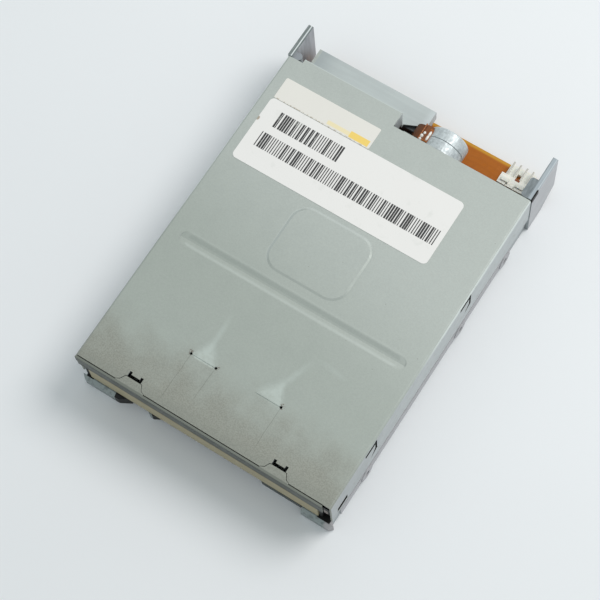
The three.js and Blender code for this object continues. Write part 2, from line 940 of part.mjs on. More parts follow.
function coverShell() {
  const outline = new THREE.Shape();
  outline.moveTo(-coverHalf, skirtFoot);
  outline.lineTo(-skirtInner, skirtFoot);
  outline.lineTo(-skirtInner, coverUnder);
  outline.lineTo(skirtInner, coverUnder);
  outline.lineTo(skirtInner, skirtFoot);
  outline.lineTo(coverHalf, skirtFoot);
  outline.lineTo(coverHalf, coverTop - coverBend);
  outline.absarc(coverHalf - coverBend, coverTop - coverBend, coverBend, 0, Math.PI / 2, false);
  outline.lineTo(-coverHalf + coverBend, coverTop);
  outline.absarc(-coverHalf + coverBend, coverTop - coverBend, coverBend, Math.PI / 2, Math.PI, false);
  return plateY(outline, 0, coverRearStep);
}

function coverTrims() {
  const low = -overrun;
  const high = driveHeight + overrun;
  const past = coverRearStep + overrun;
  const rightRear = box(stepNotchRight, halfWidth + overrun, coverRearRight, past, low, high);
  const notch = box(stepRight, stepNotchRight + overrun, coverRearRight - seatGap, past, low, high);
  const leftCorner = box(-halfWidth - overrun, stepLeft, coverRearCorner, past, low, high);
  return [rightRear, notch, leftCorner];
}

function tongueOutline(x, grow) {
  return shapeOf([
    [x - tongueBaseHalf - grow, -overrun],
    [x - tongueBaseHalf - grow, 0],
    [x - tongueShoulderHalf - grow, tongueShoulderY + grow],
    [x - tongueTipHalf - grow, tongueTipY + grow],
    [x + tongueTipHalf + grow, tongueTipY + grow],
    [x + tongueShoulderHalf + grow, tongueShoulderY + grow],
    [x + tongueBaseHalf + grow, 0],
    [x + tongueBaseHalf + grow, -overrun],
  ]);
}

function tongueNotches() {
  const low = coverUnder - overrun;
  const high = coverTop + overrun;
  return tongueXs.flatMap((x) => {
    const slotFront = tongueTipY;
    const slotRear = tongueTipY + tongueGap + hookSlotDepth;
    const base = box(x - hookSlotHalf, x + hookSlotHalf, slotFront, slotRear, low, high);
    const arms = [x - hookSlotHalf, x + hookSlotHalf - hookSlotArmWidth].map((x0) =>
      box(x0, x0 + hookSlotArmWidth, slotFront, slotRear + hookSlotArm, low, high),
    );
    return [plateZ(tongueOutline(x, tongueGap), low, high), base, ...arms];
  });
}

function lanceHoles() {
  const low = coverUnder - overrun;
  const high = coverTop + overrun;
  return lances.flatMap(({ holes }) =>
    holes.map((x) => rod('z', lanceHoleRadius, low, high, [x, lanceY], smallSteps)),
  );
}

// A low fin behind each lance, highest along its front edge and running out to a point behind.
function lanceFins() {
  const rear = lanceY + lanceDepth;
  const seat = coverUnder + seatGap;
  return lances.map(({ from, to, apex }) => {
    const slope = shapeOf([
      [lanceY, seat],
      [rear, seat],
      [rear, coverTop],
      [lanceY, coverTop + lanceRise],
    ]);
    const plan = shapeOf([
      [from, lanceY],
      [to, lanceY],
      [apex, rear],
    ]);
    return plateX(slope, from, to).intersect(plateZ(plan, coverUnder, coverTop + embossRise));
  });
}

// Slits in both skirts that free the cover's hook tabs: along the top, down the rear end and on to a tip.
function hookTabSlits() {
  return [-1, 1].flatMap((side) => {
    const inner = side * (skirtInner - overrun / 2);
    const outer = side * (halfWidth + overrun);
    const x0 = Math.min(inner, outer);
    const x1 = Math.max(inner, outer);
    return hookTabRears.map((rear) => {
      const outline = shapeOf([
        [rear - hookTabLength, hookTabTop],
        [rear - hookTabLength, hookTabTop - hookTabTopSlit],
        [rear - hookTabSlit, hookTabTop - hookTabTopSlit],
        [rear - hookTabSlit, hookTabElbow],
        [rear - hookTabTipSet, hookTabTip],
        [rear, hookTabElbowFoot],
        [rear, hookTabEnd],
        [rear - hookTabSlit, hookTabEnd],
        [rear - hookTabSlit, hookTabTop],
      ]);
      return plateX(outline, x0, x1);
    });
  });
}

function sideSlots() {
  return [-1, 1].map((side) => {
    const inner = side * (skirtInner - overrun / 2);
    const outer = side * (halfWidth + overrun);
    return box(
      Math.min(inner, outer),
      Math.max(inner, outer),
      sideSlotFront,
      sideSlotRear,
      sideSlotLevel,
      sideSlotLevel + sideSlotWidth,
    );
  });
}

function coverFlap() {
  const riser = box(
    stepLeft,
    stepRight,
    coverRearStep - flapSheet,
    coverRearStep,
    flapLevel - flapSheet,
    coverTop - coverBend / 2,
  );
  const plate = plateZ(
    shapeOf([
      [flapLeft, coverRearStep],
      [stepLeft, coverRearStep - flapSheet],
      [stepRight, coverRearStep - flapSheet],
      [stepRight, flapCornerFront],
      [flapRight - coverBend * 2, flapSideFront - coverBend],
      [flapRight, flapSideFront],
      [flapRight, flapRear],
      [flapLeft, flapRear],
    ]),
    flapLevel - flapSheet,
    flapLevel,
  );
  const rearLip = box(
    flapLeft,
    flapRight,
    flapRear - flapSheet,
    flapRear,
    flapLevel - flapLipDrop,
    flapLevel,
  );
  const sideLip = box(
    flapRight - flapSheet,
    flapRight,
    flapSideFront,
    flapRear,
    flapLevel - flapSideDrop,
    flapLevel,
  );
  const notchWall = box(
    stepRight - flapSheet,
    stepRight,
    coverRearRight + flapSheet,
    coverRearStep - flapSheet / 2,
    coverTop - notchWallDrop,
    coverTop - coverBend / 2,
  );
  return [riser, plate, rearLip, sideLip, notchWall];
}

// The raised pad slopes down to the sheet all round and is hollow below.
function coverPad() {
  const centred = (grow) =>
    roundedRect(
      padX - padWidth / 2 + grow,
      padX + padWidth / 2 - grow,
      padY - padDepth / 2 + grow,
      padY + padDepth / 2 - grow,
      padRadius - grow,
    );
  const options = {
    depth: coverSheet,
    bevelThickness: embossRise,
    bevelSize: padSlope,
    bevelSegments: 1,
    curveSegments: cornerSteps,
  };
  const geometry = new THREE.ExtrudeGeometry(centred(padSlope), options);
  geometry.translate(0, 0, coverUnder);
  const seat = box(-coverHalf, coverHalf, 0, coverRearStep, coverUnder + seatGap, driveHeight + overrun);
  const raised = solidOf(geometry).intersect(seat);
  const hollow = plateZ(centred(padWall), coverUnder - overrun, coverUnder + embossRise);
  return { raised, hollow };
}

// The groove is a wide shallow V with rounded ends, and shows as a ridge below the sheet.
function coverGroove() {
  const valley = (half, edge, rise) => {
    const low = edge - grooveDepth;
    const high = edge + rise;
    const section = shapeOf([
      [grooveY, low],
      [grooveY + half, edge],
      [grooveY + half, high],
      [grooveY - half, high],
      [grooveY - half, edge],
    ]);
    const plan = slotShape([grooveLeft, grooveY], [grooveRight, grooveY], half);
    return plateX(section, -coverHalf, coverHalf).intersect(plateZ(plan, low - overrun, high + overrun));
  };
  const sunk = valley(grooveHalf, coverTop, overrun);
  const under = valley(grooveHalf + grooveWall, coverUnder, seatGap);
  return { sunk, under };
}

function topCover() {
  const pad = coverPad();
  const groove = coverGroove();
  const trimmed = cut(coverShell(), coverTrims());
  const sheet = join([trimmed, ...coverFlap(), ...lanceFins(), pad.raised, groove.under]);
  return cut(sheet, [
    pad.hollow,
    groove.sunk,
    ...tongueNotches(),
    ...lanceHoles(),
    ...hookTabSlits(),
    ...sideSlots(),
  ]);
}

// Front plate: a folded strip across the front with two tongues that lie flush in the cover
const stripSheet = 0.8;
const stripLeft = -coverHalf + seatGap;
const stripRight = wallInner - doorEndGap;
const stripDoorGap = 0.4;
const stripUnder = doorTop + stripDoorGap;
const stripUpperHeight = 3.7;
const stripCrease = coverTop - stripUpperHeight;
const stripStep = 0.2;

function frontPlate() {
  const front = -slideGap - stripSheet;
  const upper = box(stripLeft, stripRight, front, -slideGap, stripCrease, coverTop);
  const lower = box(
    stripLeft,
    stripRight,
    front + stripStep,
    -slideGap + stripStep,
    stripUnder,
    stripCrease + stripStep,
  );
  const tongues = tongueXs.map((x) => plateZ(tongueOutline(x, 0), coverUnder, coverTop));
  return join([upper, lower, ...tongues]);
}

// Paper labels on the cover
const labelThick = 0.15;
const bigLabelSet = 4.05;
const bigLabelWidth = 78.65;
const padLabelGap = 2.05;
const bigLabelRearSet = 12.5;
const bigLabelLeft = -coverHalf + bigLabelSet;
const bigLabelRight = bigLabelLeft + bigLabelWidth;
const bigLabelRear = chassisFloorRear - bigLabelRearSet;
const bigLabelFront = padY + padDepth / 2 + padLabelGap;
const bigLabelRadius = 1.8;
const smallLabelSet = 4.5;
const smallLabelWidth = 39;
const smallLabelDepth = 11.8;
const smallLabelTuck = 2.8;
const smallLabelLeft = -coverHalf + smallLabelSet;
const smallLabelRight = smallLabelLeft + smallLabelWidth;
const smallLabelFront = bigLabelRear - smallLabelTuck;
const smallLabelRear = smallLabelFront + smallLabelDepth;
const smallLabelRadius = 0.6;

function bigLabel() {
  const shape = roundedRect(bigLabelLeft, bigLabelRight, bigLabelFront, bigLabelRear, bigLabelRadius);
  return plateZ(shape, coverTop, coverTop + labelThick);
}

function smallLabel() {
  const shape = roundedRect(
    smallLabelLeft,
    smallLabelRight,
    smallLabelFront,
    smallLabelRear,
    smallLabelRadius,
  );
  const whole = plateZ(shape, coverTop, coverTop + labelThick);
  const covered = box(
    bigLabelLeft - overrun,
    bigLabelRight,
    bigLabelFront,
    bigLabelRear + labelThick,
    coverTop - overrun,
    driveHeight,
  );
  return cut(whole, [covered]);
}

// Main board, its connectors, chips and screws
const chipThick = 1.4;
const controllerX = -16;
const controllerSet = 24;
const controllerY = boardFront + controllerSet;
const controllerSize = 14;
const driverX = 14;
const driverSet = 28;
const driverY = boardFront + driverSet;
const driverWidth = 10.4;
const driverDepth = 7.6;
const screwHeadRadius = 1.9;
const screwHeadThick = 0.9;
const signalWall = 1.1;
const signalBack = 2;
const powerSet = 8.8;
const powerX = wallInner - powerSet;
const powerReach = 10.6;
const powerFront = bodyDepth - powerReach;
const powerWallDepth = 3.2;
const powerWallHalf = 5.4;
const powerWallHeight = 6.6;
const powerTongueHalf = 4.9;
const powerTongueRear = boardRear;
const powerTongueThick = 1.7;
const powerHole = 2;
const powerPinRise = 4;
const powerPinLevel = boardTop + powerPinRise;
const powerPinCount = 4;
const powerToothWidth = 3;
const powerToothReach = 1;

function mainBoard() {
  const board = box(-boardHalf, boardHalf, boardFront, boardRear, boardUnder, boardTop);
  const holes = boardScrewPlaces.map((place) =>
    rod(
      'z',
      boardScrewRadius + boardScrewPlay,
      boardUnder - overrun,
      boardTop + overrun,
      place,
      smallSteps,
    ),
  );
  const pinHoles = powerPinXs().map((x) =>
    rod('z', pinSize, boardUnder - overrun, boardTop + overrun, [x, powerLegY()], smallSteps),
  );
  return cut(board, [...holes, ...pinHoles]);
}

function chip(x, y, width, depth) {
  const top = boardUnder - chipGap;
  return box(x - width / 2, x + width / 2, y - depth / 2, y + depth / 2, top - chipThick, top);
}

function pairedScrew(place, headTop, shankTop, shankRadius) {
  const head = rod('z', screwHeadRadius, headTop - screwHeadThick, headTop, place, roundSteps);
  const shank = rod('z', shankRadius, headTop - screwHeadThick / 2, shankTop, place, smallSteps);
  const slot = box(
    place[0] - screwHeadRadius,
    place[0] + screwHeadRadius,
    place[1] - shankRadius / 3,
    place[1] + shankRadius / 3,
    headTop - screwHeadThick - overrun,
    headTop - screwHeadThick / 2,
  );
  return cut(head.add(shank), [slot]);
}

function signalConnector() {
  const under = boardTop + chipGap;
  const top = under + signalHeight;
  const shell = box(signalLeft, signalRight, signalFront, signalRear, under, top);
  const cavity = box(
    signalLeft + signalWall,
    signalRight - signalWall,
    signalFront + signalBack,
    signalRear + overrun,
    under + signalWall,
    top - signalWall,
  );
  const middleX = (signalLeft + signalRight) / 2;
  const middleZ = (under + top) / 2;
  const keyway = box(
    middleX - connectorPitch / 2,
    middleX + connectorPitch / 2,
    signalRear - connectorPitch,
    signalRear + overrun,
    top - signalWall - overrun,
    top + overrun,
  );
  const pins = [];
  for (let row = 0; row < signalRows; row += 1) {
    for (let column = 0; column < signalColumns; column += 1) {
      const x = middleX + (column - (signalColumns - 1) / 2) * connectorPitch;
      const z = middleZ + (row - (signalRows - 1) / 2) * connectorPitch;
      pins.push(
        box(
          x - pinSize / 2,
          x + pinSize / 2,
          signalFront + signalBack / 2,
          signalRear - pinSize,
          z - pinSize / 2,
          z + pinSize / 2,
        ),
      );
    }
  }
  return join([cut(shell, [cavity, keyway]), ...pins]);
}

function powerPinXs() {
  const xs = [];
  for (let pin = 0; pin < powerPinCount; pin += 1) {
    xs.push(powerX + (pin - (powerPinCount - 1) / 2) * connectorPitch);
  }
  return xs;
}

function powerLegY() {
  return powerFront - pinSize * 2;
}

function powerConnector() {
  const under = boardTop + chipGap;
  const wall = box(
    powerX - powerWallHalf,
    powerX + powerWallHalf,
    powerFront,
    powerFront + powerWallDepth,
    under,
    under + powerWallHeight,
  );
  const teeth = [-1, 1].map((side) => {
    const x = powerX + side * (powerWallHalf - powerToothWidth / 2 - powerToothReach);
    return box(
      x - powerToothWidth / 2,
      x + powerToothWidth / 2,
      powerFront,
      powerFront + powerWallDepth / 2,
      under,
      under + powerWallHeight + powerToothReach,
    );
  });
  const tongue = box(
    powerX - powerTongueHalf,
    powerX + powerTongueHalf,
    powerFront + powerWallDepth / 2,
    powerTongueRear,
    under,
    under + powerTongueThick,
  );
  const hole = box(
    powerX - powerHole / 2,
    powerX + powerHole / 2,
    powerFront + powerWallDepth + powerHole,
    powerFront + powerWallDepth + powerHole * 2,
    under - overrun,
    under + powerTongueThick + overrun,
  );
  const half = pinSize / 2 + chipGap;
  const bores = powerPinXs().map((x) =>
    box(
      x - half,
      x + half,
      powerFront - overrun,
      powerFront + powerWallDepth + overrun,
      powerPinLevel - half,
      powerPinLevel + half,
    ),
  );
  return cut(join([wall, ...teeth, tongue]), [hole, ...bores]);
}

function powerPin(x) {
  const half = pinSize / 2;
  const legY = powerLegY();
  const run = box(x - half, x + half, legY - half, powerTongueRear, powerPinLevel - half, powerPinLevel + half);
  const leg = box(x - half, x + half, legY - half, legY + half, boardUnder - pinSize, powerPinLevel);
  return run.add(leg);
}

// Stepper motor: two pressed cups, a bracket, a terminal block and a film to the board
const cupEdge = 0.6;
const motorNoseRadius = 2.6;
const motorNoseLength = 0.8;
const bracketScrewRadius = 1.1;
const bracketScrewSpread = 9.7;
const bracketScrewXs = [motorX - bracketScrewSpread, motorX + bracketScrewSpread];
const bracketHalf = 11.6;
const bracketDrop = 6.2;
const bracketRise = 7.2;
const bracketUnder = motorLevel - bracketDrop;
const bracketTop = motorLevel + bracketRise;
const bracketScrewHead = 1.6;
const bracketScrewHeadThick = 0.9;
const bracketScrewLength = 2;
const terminalSet = 1.4;
const terminalDepth = 6.8;
const terminalFront = motorFront + terminalSet;
const terminalRear = terminalFront + terminalDepth;
const terminalRise = 2;
const terminalHeight = 3.4;
const terminalUnder = motorLevel + terminalRise;
const terminalTop = terminalUnder + terminalHeight;
const terminalOffset = 8.3;
const terminalWidth = 3.1;
const terminalLeft = motorX - terminalOffset;
const terminalRight = terminalLeft + terminalWidth;
const filmThick = 0.4;
const filmRight = terminalLeft - seatGap;
const filmRise = 0.6;
const filmFootReach = 6.7;
const filmTop = terminalTop + filmRise;
const filmLeft = filmRight - filmFootReach;

function bracketFront() {
  return chassisFloorRear + seatGap;
}

function frontCup() {
  const y0 = motorFront + seatGap;
  const y1 = motorFront + cupLength;
  const bore = screwRadius + shaftPlay;
  const deep = y0 + cupLength / 2;
  return turnedY(
    [
      [0, deep],
      [bore, deep],
      [bore, y0],
      [motorRadius - cupEdge, y0],
      [motorRadius, y0 + cupEdge],
      [motorRadius, y1],
      [0, y1],
    ],
    motorX,
    motorLevel,
    wideSteps,
  );
}

function rearCup() {
  const y0 = motorFront + cupLength + cupSeam;
  const y1 = y0 + cupLength;
  return turnedY(
    [
      [0, y0],
      [motorRadius, y0],
      [motorRadius, y1 - cupEdge],
      [motorRadius - cupEdge, y1],
      [motorNoseRadius, y1],
      [motorNoseRadius, y1 + motorNoseLength],
      [0, y1 + motorNoseLength],
    ],
    motorX,
    motorLevel,
    wideSteps,
  );
}

function stepperBracket() {
  const front = bracketFront();
  const shape = roundedRect(
    motorX - bracketHalf,
    motorX + bracketHalf,
    bracketUnder,
    bracketTop,
    bracketScrewHead,
  );
  const plate = plateY(shape, front, front + bracketSheet - seatGap);
  const bore = rod(
    'y',
    screwRadius + shaftPlay,
    front - overrun,
    front + bracketSheet + overrun,
    [motorX, motorLevel],
  );
  const holes = bracketScrewXs.map((x) =>
    rod(
      'y',
      bracketScrewRadius + seatGap,
      front - overrun,
      front + bracketSheet + overrun,
      [x, motorLevel],
      smallSteps,
    ),
  );
  return cut(plate, [bore, ...holes]);
}

function bracketScrew(x) {
  const face = bracketFront() + bracketSheet - seatGap;
  const head = rod('y', bracketScrewHead, face, face + bracketScrewHeadThick, [x, motorLevel]);
  const shank = rod(
    'y',
    bracketScrewRadius,
    face - bracketScrewLength,
    face + bracketScrewHeadThick / 2,
    [x, motorLevel],
    smallSteps,
  );
  const slot = box(
    x - bracketScrewHead,
    x + bracketScrewHead,
    face + bracketScrewHeadThick / 2,
    face + bracketScrewHeadThick + overrun,
    motorLevel - bracketScrewRadius / 3,
    motorLevel + bracketScrewRadius / 3,
  );
  return cut(head.add(shank), [slot]);
}

function terminalBlock() {
  const block = box(
    terminalLeft,
    terminalRight,
    terminalFront,
    terminalRear,
    terminalUnder,
    terminalTop,
  );
  const can = rod(
    'y',
    motorRadius + seatGap,
    terminalFront - overrun,
    terminalRear + overrun,
    [motorX, motorLevel],
    wideSteps,
  );
  return cut(block, [can]);
}

function stepperFilm() {
  const under = boardTop + chipGap;
  const upright = box(filmRight - filmThick, filmRight, terminalFront, terminalRear, under, filmTop);
  const foot = box(filmLeft, filmRight, terminalFront, signalFront - seatGap, under, under + filmThick);
  return upright.add(foot);
}

// Lead screw and guide rod
const screwRear = motorFront + cupLength / 2;
const rodFront = postFront + postDepth / 2;
const rodRear = rearWallFront + postDepth / 2;

function leadScrew() {
  return rod('y', screwRadius, screwFront, screwRear, [motorX, motorLevel]);
}

function guideRod() {
  return rod('y', rodRadius, rodFront, rodRear, [rodX, rodLevel]);
}

// Head carriage with its lower head, and the upper head arm hinged on it
const armUnder = carriageUnder;
const armThick = 1.8;
const armTipHalf = 4.6;
const armRootHalf = 6;
const headHalf = 3.4;
const headDepth = 6;
const headPocket = 0.8;
const headWear = 0.1;
const columnSet = 0.6;
const columnScrewGap = 2.3;
const columnLeft = armHalfWidth + columnSet;
const columnRight = motorX - columnScrewGap;
const columnFrontSet = 1.5;
const columnDepth = 4;
const columnFront = carriageBlockFront + columnFrontSet;
const columnRear = columnFront + columnDepth;
const columnRise = 3.4;
const columnTop = motorLevel + columnRise;
const postScrewGap = 2.6;
const reachOffset = 5;
const needleHalf = 4.2;
const postLeft = motorX + postScrewGap;
const carriageReach = motorX + reachOffset;
const needleRadius = 0.5;
const needleLeft = motorX - needleHalf;
const needleRight = motorX + needleHalf;
const reachRim = 0.6;
const reachFront = columnFront - reachRim;
const reachRear = columnRear + overrun;
const earInner = armHalfWidth + slideGap;
const earThickness = 1.5;
const earOuter = earInner + earThickness;
const earFront = columnRear;
const earDepth = 3.4;
const earRear = earFront + earDepth;
const earRise = 1.8;
const earTop = hingeLevel + earRise;
const flagThick = 0.4;
const flagDepth = 2;
const flagFootRise = 1.6;
const flagFoot = floorTop + flagFootRise;
const flagRiseGap = 0.5;
const hingeY = earFront + earDepth / 2;
const hingePinRadius = 0.8;
const hingePlay = 0.2;
const hingeBarrelRadius = 1.6;
const upperArmThick = 1.2;
const upperArmTipHalf = 4.6;
const upperArmRibHeight = 1.4;
const upperArmRibThick = 0.8;
const upperHeadGap = 0.15;
const armSpringOuter = 1.5;
const armSpringInner = 1.05;
const sensorRise = 4.4;
const sensorTop = floorTop + sensorRise;
const sensorGapWidth = 1.4;
const sensorFloor = 2.4;

function carriageBlock() {
  const blockRear = carriageBlockFront + carriageBlockDepth;
  return box(blockLeft, blockRight, carriageBlockFront, blockRear, carriageUnder, carriageTop);
}

function carriageArm() {
  const blockFront = carriageBlockFront;
  const outline = shapeOf([
    [-armTipHalf, armTipY],
    [armTipHalf, armTipY],
    [armRootHalf, blockFront - headDepth],
    [armRootHalf, blockFront + overrun],
    [-armRootHalf, blockFront + overrun],
    [-armRootHalf, blockFront - headDepth],
  ]);
  return plateZ(outline, armUnder, armUnder + armThick);
}

function carriageColumns() {
  const reach = box(
    blockRight - overrun,
    carriageReach,
    reachFront,
    reachRear,
    carriageUnder,
    motorLevel - screwRadius - slideGap * 2,
  );
  const left = box(columnLeft, columnRight, columnFront, columnRear, carriageUnder, columnTop);
  const right = box(postLeft, carriageReach, columnFront, columnRear, carriageUnder, columnTop);
  return [reach, left, right];
}

function carriageEars() {
  return [-1, 1].map((side) =>
    box(
      Math.min(side * earInner, side * earOuter),
      Math.max(side * earInner, side * earOuter),
      earFront,
      earRear,
      carriageTop - overrun,
      earTop,
    ),
  );
}

// The flag that the track-zero sensor sees.
function carriageFlag() {
  const flagX = sensorLeft + sensorWidth / 2;
  const y0 = sensorFront + (sensorDepth - flagDepth) / 2;
  const bridgeUnder = sensorTop + flagRiseGap;
  const bridge = box(
    carriageReach - overrun,
    flagX + flagThick / 2,
    y0,
    y0 + flagDepth,
    bridgeUnder,
    bridgeUnder + flagThick * 2,
  );
  const blade = box(
    flagX - flagThick / 2,
    flagX + flagThick / 2,
    y0,
    y0 + flagDepth,
    flagFoot,
    bridgeUnder + flagThick,
  );
  return [bridge, blade];
}

function headCarriage() {
  const body = join([
    carriageBlock(),
    carriageArm(),
    ...carriageColumns(),
    ...carriageEars(),
    ...carriageFlag(),
  ]);
  const rodBore = rod(
    'y',
    rodRadius + seatGap,
    carriageBlockFront - overrun,
    carriageBlockFront + carriageBlockDepth + overrun,
    [rodX, rodLevel],
  );
  const headPocketCut = box(
    -headHalf - seatGap,
    headHalf + seatGap,
    outerTrackY - headDepth / 2 - seatGap,
    outerTrackY + headDepth / 2 + seatGap,
    armUnder + armThick - headPocket,
    armUnder + armThick + overrun,
  );
  const pinBore = rod(
    'x',
    hingePinRadius + hingePlay / 2,
    -earOuter - overrun,
    earOuter + overrun,
    [hingeY, hingeLevel],
    smallSteps,
  );
  return cut(body, [rodBore, headPocketCut, pinBore, needleBore()]);
}

function needleLevel() {
  return motorLevel + screwRadius + needleRadius + seatGap / 2;
}

function needleBore() {
  const y = (columnFront + columnRear) / 2;
  return rod(
    'x',
    needleRadius + seatGap / 2,
    needleLeft - seatGap / 2,
    needleRight + seatGap / 2,
    [y, needleLevel()],
    smallSteps,
  );
}

function carriageNeedle() {
  const y = (columnFront + columnRear) / 2;
  return rod('x', needleRadius, needleLeft, needleRight, [y, needleLevel()], smallSteps);
}

function lowerHead() {
  const under = armUnder + armThick - headPocket + seatGap / 2;
  const top = mediaLevel - headWear;
  const base = box(
    -headHalf,
    headHalf,
    outerTrackY - headDepth / 2,
    outerTrackY + headDepth / 2,
    under,
    top - headWear * 2,
  );
  const rail = box(
    -headHalf / 2,
    headHalf / 2,
    outerTrackY - headDepth / 2,
    outerTrackY + headDepth / 2,
    under,
    top,
  );
  return base.add(rail);
}

function upperHeadUnder() {
  return holderCeiling + upperHeadGap;
}

function upperArmUnder() {
  return hingeLevel - upperArmThick + seatGap / 2;
}

function upperArm() {
  const under = upperArmUnder();
  const outline = shapeOf([
    [-upperArmTipHalf, armTipY],
    [upperArmTipHalf, armTipY],
    [upperArmTipHalf, outerTrackY + headDepth],
    [armHalfWidth - slideGap, outerTrackY + headDepth * 3],
    [armHalfWidth - slideGap, hingeY],
    [-armHalfWidth + slideGap, hingeY],
    [-armHalfWidth + slideGap, outerTrackY + headDepth * 3],
    [-upperArmTipHalf, outerTrackY + headDepth],
  ]);
  const plate = plateZ(outline, under, under + upperArmThick);
  const barrel = rod(
    'x',
    hingeBarrelRadius,
    -armHalfWidth + slideGap,
    armHalfWidth - slideGap,
    [hingeY, hingeLevel],
  );
  const ribs = [-1, 1].map((side) => {
    const inner = side * (upperArmTipHalf - upperArmRibThick);
    const outer = side * upperArmTipHalf;
    return box(
      Math.min(inner, outer),
      Math.max(inner, outer),
      armTipY + headDepth * 2,
      hingeY - hingeBarrelRadius,
      under,
      under + upperArmThick + upperArmRibHeight,
    );
  });
  const springSeat = box(
    armHalfWidth - slideGap - armSpringOuter,
    armHalfWidth + overrun,
    hingeY - hingeBarrelRadius - seatGap,
    hingeY + hingeBarrelRadius + overrun,
    under - overrun,
    earTop + overrun,
  );
  const bore = rod(
    'x',
    hingePinRadius + hingePlay,
    -armHalfWidth - overrun,
    armHalfWidth + overrun,
    [hingeY, hingeLevel],
    smallSteps,
  );
  const pocket = box(
    -headHalf - seatGap,
    headHalf + seatGap,
    outerTrackY - headDepth / 2 - seatGap,
    outerTrackY + headDepth / 2 + seatGap,
    under - overrun,
    under + headPocket,
  );
  return cut(join([plate, barrel, ...ribs]), [springSeat, bore, pocket]);
}

function upperHead() {
  const under = upperHeadUnder();
  const top = upperArmUnder() + headPocket - seatGap / 2;
  return box(
    -headHalf,
    headHalf,
    outerTrackY - headDepth / 2,
    outerTrackY + headDepth / 2,
    under,
    top,
  );
}

function armHingePin() {
  return rod('x', hingePinRadius, -earOuter, earOuter, [hingeY, hingeLevel], smallSteps);
}

function armSpring() {
  const x1 = earInner - seatGap / 2;
  const x0 = armHalfWidth - slideGap - armSpringOuter + seatGap;
  const coil = rod('x', armSpringOuter, x0, x1, [hingeY, hingeLevel], smallSteps);
  const bore = rod('x', armSpringInner, x0 - overrun, x1 + overrun, [hingeY, hingeLevel], smallSteps);
  return cut(coil, [bore]);
}

function trackSensor() {
  const x1 = sensorLeft + sensorWidth;
  const y1 = sensorFront + sensorDepth;
  const body = box(sensorLeft, x1, sensorFront, y1, boardTop + chipGap, sensorTop);
  const middle = sensorLeft + sensorWidth / 2;
  const gap = box(
    middle - sensorGapWidth / 2,
    middle + sensorGapWidth / 2,
    sensorFront - overrun,
    y1 + overrun,
    boardTop + chipGap + sensorFloor,
    sensorTop + overrun,
  );
  return cut(body, [gap]);
}

// Film from the heads to the board
const headFilmThick = 0.3;
const headFilmSet = 1.9;
const headFilmFront = carriageBlockFront + headFilmSet;
const headFilmWidth = 6;
const flexConnectorHeight = 4.2;

function flexConnector() {
  return box(
    flexConnectorLeft,
    flexConnectorLeft + flexConnectorWidth,
    flexConnectorFront,
    flexConnectorFront + flexConnectorDepth,
    boardTop + chipGap,
    boardTop + chipGap + flexConnectorHeight,
  );
}

// The film leaves the carriage block, arches over and comes down on its connector.
function headFilm() {
  const x0 = blockLeft - seatGap;
  const x1 = flexConnectorLeft + flexConnectorWidth / 2;
  const zEnd = boardTop + chipGap + flexConnectorHeight + seatGap;
  const zTop = carriageTop - slideGap;
  const y0 = flexConnectorFront + seatGap;
  const bend = headFilmThick * 4;
  const arch = new THREE.Shape();
  arch.moveTo(x0, carriageUnder + armThick * 2);
  arch.lineTo(x0, zTop - bend);
  arch.absarc(x0 - bend, zTop - bend, bend, 0, Math.PI / 2, false);
  arch.lineTo(x1 + bend, zTop);
  arch.absarc(x1 + bend, zTop - bend, bend, Math.PI / 2, Math.PI, false);
  arch.lineTo(x1, zEnd);
  arch.lineTo(x1 + headFilmThick, zEnd);
  arch.lineTo(x1 + headFilmThick, zTop - bend);
  const inner = bend - headFilmThick;
  arch.absarc(x1 + bend, zTop - bend, inner, Math.PI, Math.PI / 2, true);
  arch.lineTo(x0 - bend, zTop - headFilmThick);
  arch.absarc(x0 - bend, zTop - bend, inner, Math.PI / 2, 0, true);
  arch.lineTo(x0 - headFilmThick, carriageUnder + armThick * 2);
  const wide = plateY(arch, y0, headFilmFront + headFilmWidth);
  const frontTrim = box(
    x0 - bend,
    x0 + overrun,
    y0 - overrun,
    headFilmFront,
    carriageUnder,
    zTop + overrun,
  );
  const rearTrim = box(
    x1 - overrun,
    x1 + bend,
    flexConnectorFront + flexConnectorDepth - seatGap,
    headFilmFront + headFilmWidth + overrun,
    floorTop - overrun * 3,
    zTop + overrun,
  );
  return cut(wide, [frontTrim, rearTrim]);
}

// Spindle motor and drive hub
const statorInner = 8;
const statorOuter = 19;
const statorTop = 3.9;
const statorUnder = 2.3;
const statorTeeth = 12;
const toothWidth = 2.4;
const rotorUnder = 0.6;
const rotorFloor = 1.6;
const rotorTop = 3.6;
const rotorRim = 1.2;
const magnetGap = 0.2;
const magnetThick = 2;
const bearingRadius = 4;
const bearingUnder = 2.2;
const bearingTop = 6.6;
const hubUnder = floorTop + seatGap;
const hubThick = 1.4;
const shaftRise = 3.3;
const pinTip = hubUnder + shaftRise;
const drivePinRadius = 1.1;
const drivePinOffset = 9.6;
const drivePinRise = 1.5;
const spindleBoardHalf = 31;
const spindleBoardAhead = 28.5;
const spindleBoardBehind = 30.4;
const spindleBoardFront = hubY - spindleBoardAhead;
const spindleBoardRear = hubY + spindleBoardBehind;

function spindleBoard() {
  const top = floorUnder - spindleBoardGap;
  const shape = roundedRect(
    -spindleBoardHalf,
    spindleBoardHalf,
    spindleBoardFront,
    spindleBoardRear,
    screwHeadRadius * 2,
  );
  const plate = plateZ(shape, top - spindleBoardThick, top);
  const bearingHole = rod(
    'z',
    bearingRadius + seatGap / 2,
    top - spindleBoardThick - overrun,
    top + overrun,
    [0, hubY],
  );
  const holes = spindleScrewPlaces.map((place) =>
    rod(
      'z',
      boardScrewRadius + boardScrewPlay,
      top - spindleBoardThick - overrun,
      top + overrun,
      place,
      smallSteps,
    ),
  );
  return cut(plate, [bearingHole, ...holes]);
}

